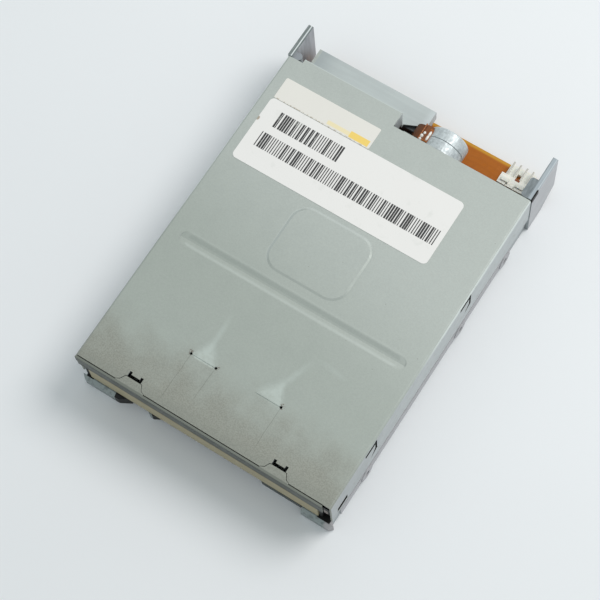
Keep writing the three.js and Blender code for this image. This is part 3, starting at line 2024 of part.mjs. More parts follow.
function spindleBearing() {
  const tube = rod('z', bearingRadius, bearingUnder, bearingTop, [0, hubY]);
  const flange = rod(
    'z',
    bearingRadius + overrun,
    floorUnder - spindleBoardGap + seatGap / 2,
    floorUnder + overrun,
    [0, hubY],
  );
  const bore = rod('z', shaftRadius + shaftPlay, bearingUnder - overrun, bearingTop + overrun, [0, hubY]);
  return cut(tube.add(flange), [bore]);
}

function stator() {
  const ring = rod('z', (statorInner + statorOuter) / 2, statorUnder, statorTop, [0, hubY]);
  const teeth = [];
  for (let tooth = 0; tooth < statorTeeth; tooth += 1) {
    const angle = (tooth / statorTeeth) * Math.PI * 2;
    const root = new THREE.BoxGeometry(
      statorOuter - statorInner - overrun,
      toothWidth,
      statorTop - statorUnder,
    );
    root.translate((statorOuter + statorInner) / 2, 0, (statorTop + statorUnder) / 2);
    root.rotateZ(angle);
    root.translate(0, hubY, 0);
    teeth.push(solidOf(root));
  }
  const bore = rod('z', statorInner, statorUnder - overrun, statorTop + overrun, [0, hubY]);
  return cut(join([ring, ...teeth]), [bore]);
}

function rotor() {
  const bore = shaftRadius + seatGap / 2;
  const profile = [
    [bore, rotorUnder],
    [rotorRadius - rotorRim / 2, rotorUnder],
    [rotorRadius, rotorUnder + rotorRim / 2],
    [rotorRadius, rotorTop],
    [rotorRadius - rotorRim, rotorTop],
    [rotorRadius - rotorRim, rotorFloor],
    [bore, rotorFloor],
    [bore, rotorUnder],
  ];
  return turnedZ(profile, 0, hubY, wideSteps);
}

function rotorMagnet() {
  const outer = rotorRadius - rotorRim - magnetGap;
  const inner = outer - magnetThick;
  const under = rotorFloor + magnetGap;
  const profile = [
    [inner, under],
    [outer, under],
    [outer, rotorTop],
    [inner, rotorTop],
    [inner, under],
  ];
  return turnedZ(profile, 0, hubY, wideSteps);
}

function spindleShaft() {
  return rod('z', shaftRadius, rotorUnder, pinTip, [0, hubY]);
}

function hubPlate() {
  const plate = rod('z', hubRadius, hubUnder, hubUnder + hubThick, [0, hubY], wideSteps);
  const boreSolid = rod(
    'z',
    shaftRadius + seatGap / 2,
    hubUnder - overrun,
    hubUnder + hubThick + overrun,
    [0, hubY],
  );
  const pinHole = rod(
    'z',
    drivePinRadius + seatGap / 2,
    hubUnder + seatGap,
    hubUnder + hubThick + overrun,
    [drivePinOffset, hubY],
    smallSteps,
  );
  return cut(plate, [boreSolid, pinHole]);
}

function drivePin() {
  return rod(
    'z',
    drivePinRadius,
    hubUnder + seatGap * 2,
    hubUnder + hubThick + drivePinRise,
    [drivePinOffset, hubY],
    smallSteps,
  );
}

// Disk holder: a folded sheet that the disk slides into
const holderFlange = 4.7;
const holderTailReach = 1.5;
const holderRearLeft = holderRear + holderTailReach;
const leverPivotEdge = 4;
const leverPivotSet = 2.1;
const leverEndX = 13.1;
const leverPivotX = -diskWidth / 2 + leverPivotEdge;
const leverPivotY = holderRear - leverPivotSet;
const leverReach = -leverEndX - leverPivotX;
const leverRestAngle = -1.35;
const leverSwingAngle = 1.35;
const leverPinRadius = 1.2;
const leverSlotPlay = 0.3;
const leverThick = 1;
const leverBarrel = 2.9;
const leverTip = 2.4;
const leverPinDrop = 2.5;
const leverWaist = 1.6;
const rivetRadius = 1.2;
const rivetHead = 2.1;
const rivetHeadThick = 0.6;
const springInset = 8.5;
const springX = holderOuter - springInset;
const springTabHalf = 1.2;
const springTabSet = 19;
const springTabFront = holderFront + springTabSet;
const sliderTabSet = 36.9;
const sliderTabY = holderRear - sliderTabSet;
const springRadius = 1.6;
const springHook = 1;
const springWire = 0.4;
const springLevel = sliderTop + springRadius;
const springTabRise = 1.4;
const springTabTop = springLevel + springTabRise;

function holderPlate() {
  const left = box(-holderOuter, -headSlotHalf, holderFront, holderRearLeft, holderCeiling, holderTop);
  const whole = box(-holderOuter, holderOuter, holderFront, holderRear, holderCeiling, holderTop);
  return left.add(whole);
}

function holderSides() {
  return [-1, 1].flatMap((side) => {
    const wall = box(
      Math.min(side * holderInner, side * holderOuter),
      Math.max(side * holderInner, side * holderOuter),
      holderFront,
      holderRear,
      holderUnder,
      holderTop,
    );
    const flangeInner = side * (holderInner - holderFlange);
    const flange = box(
      Math.min(flangeInner, side * holderOuter),
      Math.max(flangeInner, side * holderOuter),
      holderFront,
      holderRear,
      holderUnder,
      holderFloor,
    );
    return [wall, flange];
  });
}

function guidePins() {
  return [-1, 1].flatMap((side) => {
    const inner = side * (holderInner + holderSheet / 4);
    const outer = side * (wallInner + guidePinInWall);
    return [guidePinFrontY, guidePinRearY].map((y) =>
      rod('x', guidePinRadius, Math.min(inner, outer), Math.max(inner, outer), [y, guidePinLevel], smallSteps),
    );
  });
}

function leverSlot() {
  const half = leverPinRadius + leverSlotPlay;
  const ease = half / leverReach;
  const start = leverRestAngle - ease;
  const end = leverRestAngle + leverSwingAngle + ease;
  const shape = new THREE.Shape();
  shape.absarc(leverPivotX, leverPivotY, leverReach + half, start, end, false);
  shape.absarc(leverPivotX, leverPivotY, leverReach - half, end, start, true);
  return plateZ(shape, holderCeiling - overrun, holderTop + overrun, smallSteps);
}

function springTabs() {
  return [-1, 1].map((side) =>
    box(
      side * springX - springTabHalf,
      side * springX + springTabHalf,
      springTabFront,
      springTabFront + holderSheet,
      holderCeiling,
      springTabTop,
    ),
  );
}

function diskHolder() {
  const headSlot = box(
    -headSlotHalf,
    headSlotHalf,
    headSlotFront,
    holderRearLeft + overrun,
    holderCeiling - overrun,
    holderTop + overrun,
  );
  const rivetHole = rod(
    'z',
    rivetRadius + seatGap / 2,
    holderCeiling - overrun,
    holderTop + overrun,
    [leverPivotX, leverPivotY],
    smallSteps,
  );
  const sheet = join([holderPlate(), ...holderSides(), ...guidePins(), ...springTabs()]);
  return cut(sheet, [headSlot, rivetHole, leverSlot()]);
}

function leverUnder() {
  return holderTop + seatGap;
}

function shutterLever() {
  const tip = [
    leverPivotX + leverReach * Math.cos(leverRestAngle),
    leverPivotY + leverReach * Math.sin(leverRestAngle),
  ];
  const pivot = [leverPivotX, leverPivotY];
  const under = leverUnder();
  const top = under + leverThick;
  const barrel = rod('z', leverBarrel, under, top, pivot);
  const arm = plateZ(slotShape(pivot, tip, leverWaist), under, top, smallSteps);
  const end = rod('z', leverTip, under, top, tip, smallSteps);
  const pin = rod('z', leverPinRadius, holderCeiling - leverPinDrop, top, tip, smallSteps);
  const bore = rod('z', rivetRadius + leverSlotPlay / 2, under - overrun, top + overrun, pivot, smallSteps);
  return cut(join([barrel, arm, end, pin]), [bore]);
}

function leverRivet() {
  const place = [leverPivotX, leverPivotY];
  const headUnder = leverUnder() + leverThick + seatGap;
  const shank = rod('z', rivetRadius, holderCeiling, headUnder + rivetHeadThick / 2, place, smallSteps);
  const head = rod('z', rivetHead, headUnder, headUnder + rivetHeadThick, place);
  return shank.add(head);
}

// Eject slider: a frame around the holder whose slanted slots lift the guide pins
const sliderBarDepth = 9.5;
const sliderBarRear = sliderFront + sliderBarDepth;
const sliderStrip = 3;
const sliderFoot = floorTop + overrun;
const tabStripHalf = 1.8;
const tabFront = 0.9;
const tabHeadDepth = 1.3;
const tabHeadHalf = 3;
const tabHeadInner = sliderInner - seatGap;
const tabHeadReach = 1.3;
const tabHeadOuter = sliderOuter + tabHeadReach;
const tabLevel = sliderUnder - tabStripHalf;

function sliderSlots(side) {
  const radius = guidePinRadius + guideSlotPlay;
  const x0 = Math.min(side * sliderInner, side * sliderOuter) - overrun / 2;
  const x1 = Math.max(side * sliderInner, side * sliderOuter) + overrun / 2;
  return [guidePinFrontY, guidePinRearY].map((y) =>
    plateX(
      slotShape([y, guidePinLevel], [y + ejectTravel, guidePinLevel - holderDrop], radius),
      x0,
      x1,
    ),
  );
}

function sliderSide(side) {
  const wall = box(
    Math.min(side * sliderInner, side * sliderOuter),
    Math.max(side * sliderInner, side * sliderOuter),
    sliderFront,
    sliderRear,
    sliderFoot,
    sliderTop,
  );
  const stripInner = side * (sliderOuter - sliderStrip);
  const strip = box(
    Math.min(stripInner, side * sliderOuter),
    Math.max(stripInner, side * sliderOuter),
    sliderFront,
    sliderRear,
    sliderUnder,
    sliderTop,
  );
  return wall.add(strip);
}

function sliderSpringTab(side) {
  const inner = side * (springX - springTabHalf);
  const outer = side * sliderOuter;
  const arm = box(
    Math.min(inner, outer),
    Math.max(inner, outer),
    sliderTabY - springTabHalf,
    sliderTabY + sliderSheet,
    sliderUnder,
    sliderTop,
  );
  const hook = box(
    side * springX - springTabHalf,
    side * springX + springTabHalf,
    sliderTabY,
    sliderTabY + sliderSheet,
    sliderUnder,
    springTabTop,
  );
  return [arm, hook];
}

function ejectTab() {
  const strip = box(
    sliderInner,
    sliderOuter,
    tabFront,
    sliderFront + overrun,
    tabLevel - tabStripHalf,
    tabLevel + tabStripHalf,
  );
  const head = box(
    tabHeadInner,
    tabHeadOuter,
    tabFront,
    tabFront + tabHeadDepth,
    tabLevel - tabHeadHalf,
    tabLevel + tabHeadHalf,
  );
  return [strip, head];
}

function ejectSlider() {
  const bar = box(-sliderOuter, sliderOuter, sliderFront, sliderBarRear, sliderUnder, sliderTop);
  const body = join([
    bar,
    sliderSide(-1),
    sliderSide(1),
    ...sliderSpringTab(-1),
    ...sliderSpringTab(1),
    ...ejectTab(),
  ]);
  return cut(body, [...sliderSlots(-1), ...sliderSlots(1)]);
}

function ejectSpring(side) {
  const front = springTabFront + holderSheet + seatGap;
  const rear = sliderTabY - seatGap;
  const place = [side * springX, springLevel];
  const coil = rod('y', springRadius, front + springHook, rear - springHook, place, smallSteps);
  const core = rod('y', springWire, front, rear, place, smallSteps);
  return coil.add(core);
}

// Sensing switches at the front corners of the disk, and one that sees a disk at all
const switchHalf = 3;
const switchFront = 8;
const switchDepth = 5.6;
const switchRise = 1.2;
const switchTop = floorTop + switchRise;
const switchPlay = 0.2;
const plungerRadius = 1;
const plungerRise = 1.2;
const plungerLength = 1.8;
const plungerTop = switchTop + plungerRise;
const plungerFoot = plungerTop - plungerLength;

function switchBody(x) {
  const body = box(
    x - switchHalf,
    x + switchHalf,
    switchFront,
    switchFront + switchDepth,
    switchFoot,
    switchTop,
  );
  const y = switchFront + switchDepth / 2;
  const bore = rod(
    'z',
    plungerRadius + switchPlay,
    switchFoot + switchPlay,
    switchTop + overrun,
    [x, y],
    smallSteps,
  );
  return cut(body, [bore]);
}

function switchPlunger(x) {
  const y = switchFront + switchDepth / 2;
  return rod('z', plungerRadius, plungerFoot, plungerTop, [x, y], smallSteps);
}

// The assembly
addPiece('chassis', chassis(), 'castMetal');
addPiece('top_cover', topCover(), 'zincSteel');
addPiece('front_plate', frontPlate(), 'darkSteel');
addPiece('large_label', bigLabel(), 'whitePaper');
addPiece('small_label', smallLabel(), 'creamPaper');
addPiece('front_door', frontDoor(), 'beigePlastic');

addPiece('main_board', mainBoard(), 'board');
addPiece('controller_chip', chip(controllerX, controllerY, controllerSize, controllerSize), 'blackPlastic');
addPiece('driver_chip', chip(driverX, driverY, driverWidth, driverDepth), 'blackPlastic');
addPiece('signal_connector', signalConnector(), 'greyPlastic');
addPiece('power_connector', powerConnector(), 'ivoryPlastic');
powerPinXs().forEach((x, index) => {
  addPiece(`power_pin_${index + 1}`, powerPin(x), 'brightSteel');
});
boardScrewPlaces.forEach((place, index) => {
  const screw = pairedScrew(place, boardUnder, floorTop - boardScrewDepth, boardScrewRadius);
  addPiece(`board_screw_${index + 1}`, screw, 'brightSteel');
});

addPiece('stepper_front_cup', frontCup(), 'brightSteel');
addPiece('stepper_rear_cup', rearCup(), 'brightSteel');
addPiece('stepper_bracket', stepperBracket(), 'brightSteel');
bracketScrewXs.forEach((x, index) => {
  addPiece(`bracket_screw_${index + 1}`, bracketScrew(x), 'brightSteel');
});
addPiece('terminal_block', terminalBlock(), 'ivoryPlastic');
addPiece('stepper_film', stepperFilm(), 'film');
addPiece('lead_screw', leadScrew(), 'brightSteel');
addPiece('guide_rod', guideRod(), 'brightSteel');

addPiece('head_carriage', headCarriage(), 'greyPlastic');
addPiece('carriage_needle', carriageNeedle(), 'brightSteel');
addPiece('lower_head', lowerHead(), 'headCeramic');
addPiece('upper_arm', upperArm(), 'greyPlastic');
addPiece('upper_head', upperHead(), 'headCeramic');
addPiece('arm_hinge_pin', armHingePin(), 'brightSteel');
addPiece('arm_spring', armSpring(), 'springSteel');
addPiece('head_film', headFilm(), 'film');
addPiece('film_connector', flexConnector(), 'ivoryPlastic');
addPiece('track_sensor', trackSensor(), 'blackPlastic');

addPiece('spindle_board', spindleBoard(), 'board');
addPiece('spindle_bearing', spindleBearing(), 'brass');
addPiece('stator', stator(), 'darkSteel');
addPiece('rotor', rotor(), 'brightSteel');
addPiece('rotor_magnet', rotorMagnet(), 'ferrite');
addPiece('spindle_shaft', spindleShaft(), 'brightSteel');
addPiece('hub_plate', hubPlate(), 'brightSteel');
addPiece('drive_pin', drivePin(), 'brightSteel');
spindleScrewPlaces.forEach((place, index) => {
  const face = floorUnder - spindleBoardGap - spindleBoardThick;
  const screw = pairedScrew(place, face, floorTop - boardScrewDepth, boardScrewRadius);
  addPiece(`spindle_screw_${index + 1}`, screw, 'brightSteel');
});

addPiece('disk_holder', diskHolder(), 'zincSteel');
addPiece('shutter_lever', shutterLever(), 'brightSteel');
addPiece('lever_rivet', leverRivet(), 'brightSteel');
addPiece('eject_slider', ejectSlider(), 'zincSteel');
addPiece('eject_spring_left', ejectSpring(-1), 'springSteel');
addPiece('eject_spring_right', ejectSpring(1), 'springSteel');

Object.entries(switchXs).forEach(([name, x]) => {
  addPiece(`${name}_switch`, switchBody(x), 'blackPlastic');
  addPiece(`${name}_plunger`, switchPlunger(x), 'ivoryPlastic');
});

// Put the origin in the middle of the footprint.
drive.position.y = -(bodyDepth - lipReach) / 2;

export default drive;
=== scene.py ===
import json
import math

import bmesh
import bpy
from mathutils import Matrix, Vector


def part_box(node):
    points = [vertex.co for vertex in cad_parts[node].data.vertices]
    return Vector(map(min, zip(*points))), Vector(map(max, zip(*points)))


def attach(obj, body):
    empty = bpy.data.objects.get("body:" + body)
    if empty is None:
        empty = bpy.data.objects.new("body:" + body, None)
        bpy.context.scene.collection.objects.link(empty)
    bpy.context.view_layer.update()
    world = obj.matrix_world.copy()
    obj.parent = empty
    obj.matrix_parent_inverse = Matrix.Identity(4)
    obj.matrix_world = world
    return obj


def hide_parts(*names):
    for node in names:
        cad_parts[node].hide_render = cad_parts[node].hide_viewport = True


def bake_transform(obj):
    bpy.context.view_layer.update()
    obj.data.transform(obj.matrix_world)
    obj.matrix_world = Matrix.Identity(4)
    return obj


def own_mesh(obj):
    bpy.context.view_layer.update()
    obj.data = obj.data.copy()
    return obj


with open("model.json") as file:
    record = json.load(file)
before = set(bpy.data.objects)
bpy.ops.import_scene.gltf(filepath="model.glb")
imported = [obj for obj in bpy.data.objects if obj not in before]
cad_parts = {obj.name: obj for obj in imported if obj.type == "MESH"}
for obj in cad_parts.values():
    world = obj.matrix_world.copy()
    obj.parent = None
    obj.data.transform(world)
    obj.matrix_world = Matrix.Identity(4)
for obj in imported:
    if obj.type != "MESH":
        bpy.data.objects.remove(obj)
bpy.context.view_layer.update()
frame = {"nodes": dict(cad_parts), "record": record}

MM = 0.001
nodes = frame["nodes"]

# Places and sizes of the drive, in millimetres of the shared frame
GROOVE = (0.3, -17.65, 42.55, 2.45, 2.4)  # middle, half sizes and corner radius
PAD = (-0.4, 1.25, 15.85, 13.05, 6.5)
SIDE_OPENINGS = ((-69.5, -61.5), (-53, -41), (7, 19.5))  # slot and hook tabs' slits in the skirts, along Y
BOSS_BORES = (-50.65, 9.35, 39.35)  # along Y
SCREW_LEAD = 3.0
PIN_PITCH = 2.54
BAR_PITCH = 0.909


# Colours and node helpers
def rgb(r, g, b):
    """A display colour in 0 to 255 as the linear value that a shader takes."""
    def linear(c):
        c /= 255
        return c / 12.92 if c <= 0.04045 else ((c + 0.055) / 1.055) ** 2.4
    return (linear(r), linear(g), linear(b), 1.0)


class Look:
    """One node material, built step by step. Places and sizes are in millimetres of the shared frame."""

    def __init__(self, name, colour, roughness, metallic=0.0):
        self.material = bpy.data.materials.new(name)
        self.material.use_nodes = True
        self.tree = self.material.node_tree
        self.shader = self.tree.nodes["Principled BSDF"]
        self.shader.inputs["Metallic"].default_value = metallic
        self.shader.inputs["Roughness"].default_value = roughness
        self.coords = self.tree.nodes.new("ShaderNodeTexCoord").outputs["Object"]
        self.colour = self.constant(colour)
        self.roughness = None
        self.height = None

    def node(self, kind, **values):
        made = self.tree.nodes.new(kind)
        for name, value in values.items():
            setattr(made, name, value)
        return made

    def link(self, source, target):
        self.tree.links.new(source, target)

    def constant(self, colour):
        made = self.node("ShaderNodeRGB")
        made.outputs[0].default_value = colour
        return made.outputs[0]

    def put(self, value, socket):
        if isinstance(value, bpy.types.NodeSocket):
            self.link(value, socket)
        else:
            socket.default_value = value

    def math(self, operation, a, b=0.0):
        made = self.node("ShaderNodeMath", operation=operation)
        self.put(a, made.inputs[0])
        self.put(b, made.inputs[1])
        return made.outputs[0]

    def both(self, *values):
        """The product of several masks."""
        made = values[0]
        for value in values[1:]:
            made = self.math("MULTIPLY", made, value)
        return made

    def any_of(self, *values):
        """The largest of several masks."""
        made = values[0]
        for value in values[1:]:
            made = self.math("MAXIMUM", made, value)
        return made

    def scaled(self, x, y, z):
        """Coordinates that draw a pattern out along the axes whose factor is small."""
        made = self.node("ShaderNodeMapping")
        made.inputs["Scale"].default_value = (x, y, z)
        self.link(self.coords, made.inputs["Vector"])
        return made.outputs[0]

    def noise(self, size, detail, vector=None, rough=0.5):
        """Cloudy noise whose blobs are about size millimetres wide."""
        made = self.node("ShaderNodeTexNoise")
        made.inputs["Scale"].default_value = 1 / (size * MM)
        made.inputs["Detail"].default_value = detail
        made.inputs["Roughness"].default_value = rough
        self.link(vector or self.coords, made.inputs["Vector"])
        return made.outputs["Fac"]

    def cells(self, size, feature="F1"):
        """Cells about size millimetres wide."""
        made = self.node("ShaderNodeTexVoronoi", feature=feature)
        made.inputs["Scale"].default_value = 1 / (size * MM)
        self.link(self.coords, made.inputs["Vector"])
        return made

    def ramp(self, value, low, high, a=0.0, b=1.0, smooth=True):
        """value mapped from low..high to a..b, clamped."""
        made = self.node("ShaderNodeMapRange", interpolation_type="SMOOTHSTEP" if smooth else "LINEAR")
        self.put(value, made.inputs["Value"])
        for key, number in (("From Min", low), ("From Max", high), ("To Min", a), ("To Max", b)):
            made.inputs[key].default_value = number
        return made.outputs["Result"]

    def blots(self, size, detail, low, high, a=0.0, b=1.0):
        """Noise mapped from low..high to a..b."""
        return self.ramp(self.noise(size, detail), low, high, a, b)

    def rise(self, letter, low, high):
        """0 before low and 1 after high along an axis."""
        return self.ramp(self.axis(letter), low * MM, high * MM)

    def fall(self, letter, low, high):
        """1 before low and 0 after high along an axis."""
        return self.ramp(self.axis(letter), low * MM, high * MM, 1.0, 0.0)

    def band(self, value, start, end):
        """Rises over the two places of start and falls over the two of end."""
        rising = self.ramp(value, start[0] * MM, start[1] * MM)
        falling = self.ramp(value, end[0] * MM, end[1] * MM, 1.0, 0.0)
        return self.math("MULTIPLY", rising, falling)

    def axis(self, letter):
        """The place along an axis, in metres."""
        made = self.node("ShaderNodeSeparateXYZ")
        self.link(self.coords, made.inputs[0])
        return made.outputs["XYZ".index(letter)]

    def mix(self, share, other, blend="MIX"):
        """Mixes another colour over the present one."""
        made = self.node("ShaderNodeMix", data_type="RGBA", blend_type=blend)
        self.put(share, made.inputs[0])
        self.link(self.colour, made.inputs[6])
        self.put(other, made.inputs[7])
        self.colour = made.outputs[2]

    def tint(self, mask, colour, amount=1.0):
        """Mixes amount of a colour over the present one where the mask, or each of several, is 1."""
        if isinstance(mask, tuple):
            mask = self.both(*mask)
        self.mix(mask if amount == 1.0 else self.math("MULTIPLY", mask, amount), colour)

    def shade(self, value, low, high):
        """Multiplies the colour by low..high as value goes from 0 to 1."""
        grey = self.node("ShaderNodeCombineColor")
        factor = self.ramp(value, 0.0, 1.0, low, high, smooth=False)
        for socket in grey.inputs:
            self.link(factor, socket)
        self.mix(1.0, grey.outputs[0], "MULTIPLY")

    def rough(self, value, low, high):
        """Roughness from low to high as value goes from 0.3 to 0.7."""
        self.roughness = self.ramp(value, 0.3, 0.7, low, high)

    def raise_by(self, value, amount):
        """Adds value times amount millimetres to the bump height."""
        part = self.math("MULTIPLY", value, amount * MM)
        self.height = part if self.height is None else self.math("ADD", self.height, part)

    def window(self, letter, start, end, soft):
        """1 between two places along an axis, 0 outside, with soft edges."""
        return self.band(self.axis(letter), (start - soft, start + soft), (end - soft, end + soft))

    def patch(self, x0, x1, y0, y1, soft):
        """1 inside a rectangle seen from above."""
        return self.both(self.window("X", x0, x1, soft), self.window("Y", y0, y1, soft))

    def spot(self, x, y, wide, deep, turn=0.0, soft=0.5):
        """1 inside an oval at x, y, falling to 0 at its rim."""
        shift = self.node("ShaderNodeMapping")
        shift.inputs["Location"].default_value = (-x * MM, -y * MM, 0)
        self.link(self.coords, shift.inputs["Vector"])
        turned = self.node("ShaderNodeMapping")
        turned.inputs["Rotation"].default_value = (0, 0, -turn)
        turned.inputs["Scale"].default_value = (1, 1, 0)
        self.link(shift.outputs[0], turned.inputs["Vector"])
        sized = self.node("ShaderNodeMapping")
        sized.inputs["Scale"].default_value = (1 / (wide * MM), 1 / (deep * MM), 0)
        self.link(turned.outputs[0], sized.inputs["Vector"])
        length = self.node("ShaderNodeVectorMath", operation="LENGTH")
        self.link(sized.outputs[0], length.inputs[0])
        return self.ramp(length.outputs["Value"], 1.0 - soft, 1.0, 1.0, 0.0)

    def half(self, ax, ay, bx, by, soft):
        """1 on the left of the line from a to b."""
        nx, ny = ay - by, bx - ax
        size = math.hypot(nx, ny)
        dot = self.node("ShaderNodeVectorMath", operation="DOT_PRODUCT")
        self.link(self.coords, dot.inputs[0])
        dot.inputs[1].default_value = (nx / size, ny / size, 0)
        level = (ax * nx + ay * ny) / size
        return self.ramp(dot.outputs["Value"], (level - soft) * MM, (level + soft) * MM)

    def rounded(self, x, y, half_x, half_y, radius):
        """Distance in metres from the outline of a rounded rectangle, less than 0 inside it."""
        place = self.node("ShaderNodeVectorMath", operation="SUBTRACT")
        self.link(self.coords, place.inputs[0])
        place.inputs[1].default_value = (x * MM, y * MM, 0)
        steps = [place]
        for operation, value in (
            ("ABSOLUTE", None),
            ("SUBTRACT", ((half_x - radius) * MM, (half_y - radius) * MM, 0)),
            ("MAXIMUM", (0, 0, 0)),
            ("MULTIPLY", (1, 1, 0)),
            ("LENGTH", None),
        ):
            made = self.node("ShaderNodeVectorMath", operation=operation)
            self.link(steps[-1].outputs[0], made.inputs[0])
            if value is not None:
                made.inputs[1].default_value = value
            steps.append(made)
        return self.math("SUBTRACT", steps[-1].outputs["Value"], radius * MM)

    def corner_patch(self, points, softs):
        """1 inside a convex outline whose points run anticlockwise."""
        ends = points[1:] + points[:1]
        return self.both(*[self.half(*a, *b, soft) for a, b, soft in zip(points, ends, softs)])

    def facing(self, letter):
        """How far the surface's own normal points along an axis, -1 to 1."""
        geometry = self.node("ShaderNodeNewGeometry")
        made = self.node("ShaderNodeSeparateXYZ")
        self.link(geometry.outputs["Normal"], made.inputs[0])
        return made.outputs["XYZ".index(letter)]

    def done(self, **sockets):
        """Links what was built to the shader; sockets are numbers for the shader's other inputs."""
        self.link(self.colour, self.shader.inputs["Base Color"])
        if self.roughness is not None:
            self.link(self.roughness, self.shader.inputs["Roughness"])
        if self.height is not None:
            made = self.node("ShaderNodeBump")
            made.inputs["Strength"].default_value = 1.0
            made.inputs["Distance"].default_value = 1.0
            self.link(self.height, made.inputs["Height"])
            self.link(made.outputs[0], self.shader.inputs["Normal"])
        for name, value in sockets.items():
            self.shader.inputs[name.replace("_", " ")].default_value = value
        return self.material


# Cover and front plate
def steel_bloom_and_shade(look):
    """Painted shade, partly the steel's own duller bloom, over the front half away from the lamp; and brown
    and grainy along the front edge.
    """
    slant = look.node("ShaderNodeVectorMath", operation="DOT_PRODUCT")
    look.link(look.coords, slant.inputs[0])
    slant.inputs[1].default_value = (0.25, 1.0, 0)
    along = slant.outputs["Value"]
    # painted shade, partly real dulling: darker toward the front left, away from the lamp's light and sheen
    look.tint(look.ramp(along, -34 * MM, 24 * MM, 1.0, 0.0), rgb(165, 172, 165))
    cloud = look.math("MULTIPLY", look.math("SUBTRACT", look.noise(9, 4), 0.5), 24 * MM)
    reach = look.math("ADD", look.axis("Y"), cloud)
    front = look.ramp(reach, -70 * MM, -45 * MM, 1.0, 0.0)
    look.tint(front, rgb(150, 151, 141), 0.9)
    edge = look.fall("Y", -71.5, -66)
    look.tint(edge, rgb(140, 143, 134), 0.6)
    grain = look.blots(0.45, 2, 0.34, 0.66)
    look.shade(look.both(grain, look.ramp(front, 0.0, 1.0, 0.35, 1.0)), 1.08, 0.87)
    look.shade(look.blots(0.9, 2, 0.35, 0.65), 0.985, 1.012)
    look.shade(look.noise(4.5, 3), 0.985, 1.015)
    pits = look.cells(7).outputs["Distance"]
    look.tint(look.ramp(pits, 0.018, 0.032, 1.0, 0.0), rgb(118, 116, 106), 0.5)
    look.rough(look.noise(6, 3), 0.42, 0.56)
    look.raise_by(look.noise(0.3, 2), 0.003)
    look.raise_by(look.noise(16, 1), 0.02)


def stamped_painted_light(look):
    """Painted highlights and painted shade on the groove and the pad, a little lighter or darker where they
    bend.
    """
    edge = look.rounded(*GROOVE)
    inside = look.ramp(edge, -0.3 * MM, 0.3 * MM, 1.0, 0.0)
    light = look.both(inside, look.window("Y", -19.9, -18.9, 0.5))
    dark = look.both(inside, look.window("Y", -16.9, -15.5, 0.3))
    rim = look.both(look.window("Y", -15.0, -14.5, 0.25), look.window("X", -43, 43, 1))
    look.tint(light, rgb(212, 219, 215), 0.24)
    look.tint(dark, rgb(120, 130, 125), 0.2)
    look.tint(rim, rgb(212, 219, 215), 0.08)
    ring = look.rounded(*PAD)
    bend = look.band(ring, (-1.0, -0.3), (0.0, 0.5))
    left = look.fall("X", -15.6, -13.5)
    right = look.rise("X", 13.0, 14.8)
    rear = look.rise("Y", 11.5, 13.8)
    look.tint((bend, left), rgb(216, 223, 220), 0.2)
    inner = look.band(ring, (-0.95, -0.6), (-0.15, 0.05))
    look.tint((inner, left), rgb(222, 229, 226), 0.42)
    look.tint((bend, rear), rgb(222, 228, 226), 0.22)
    look.tint((bend, right), rgb(130, 140, 134), 0.17)


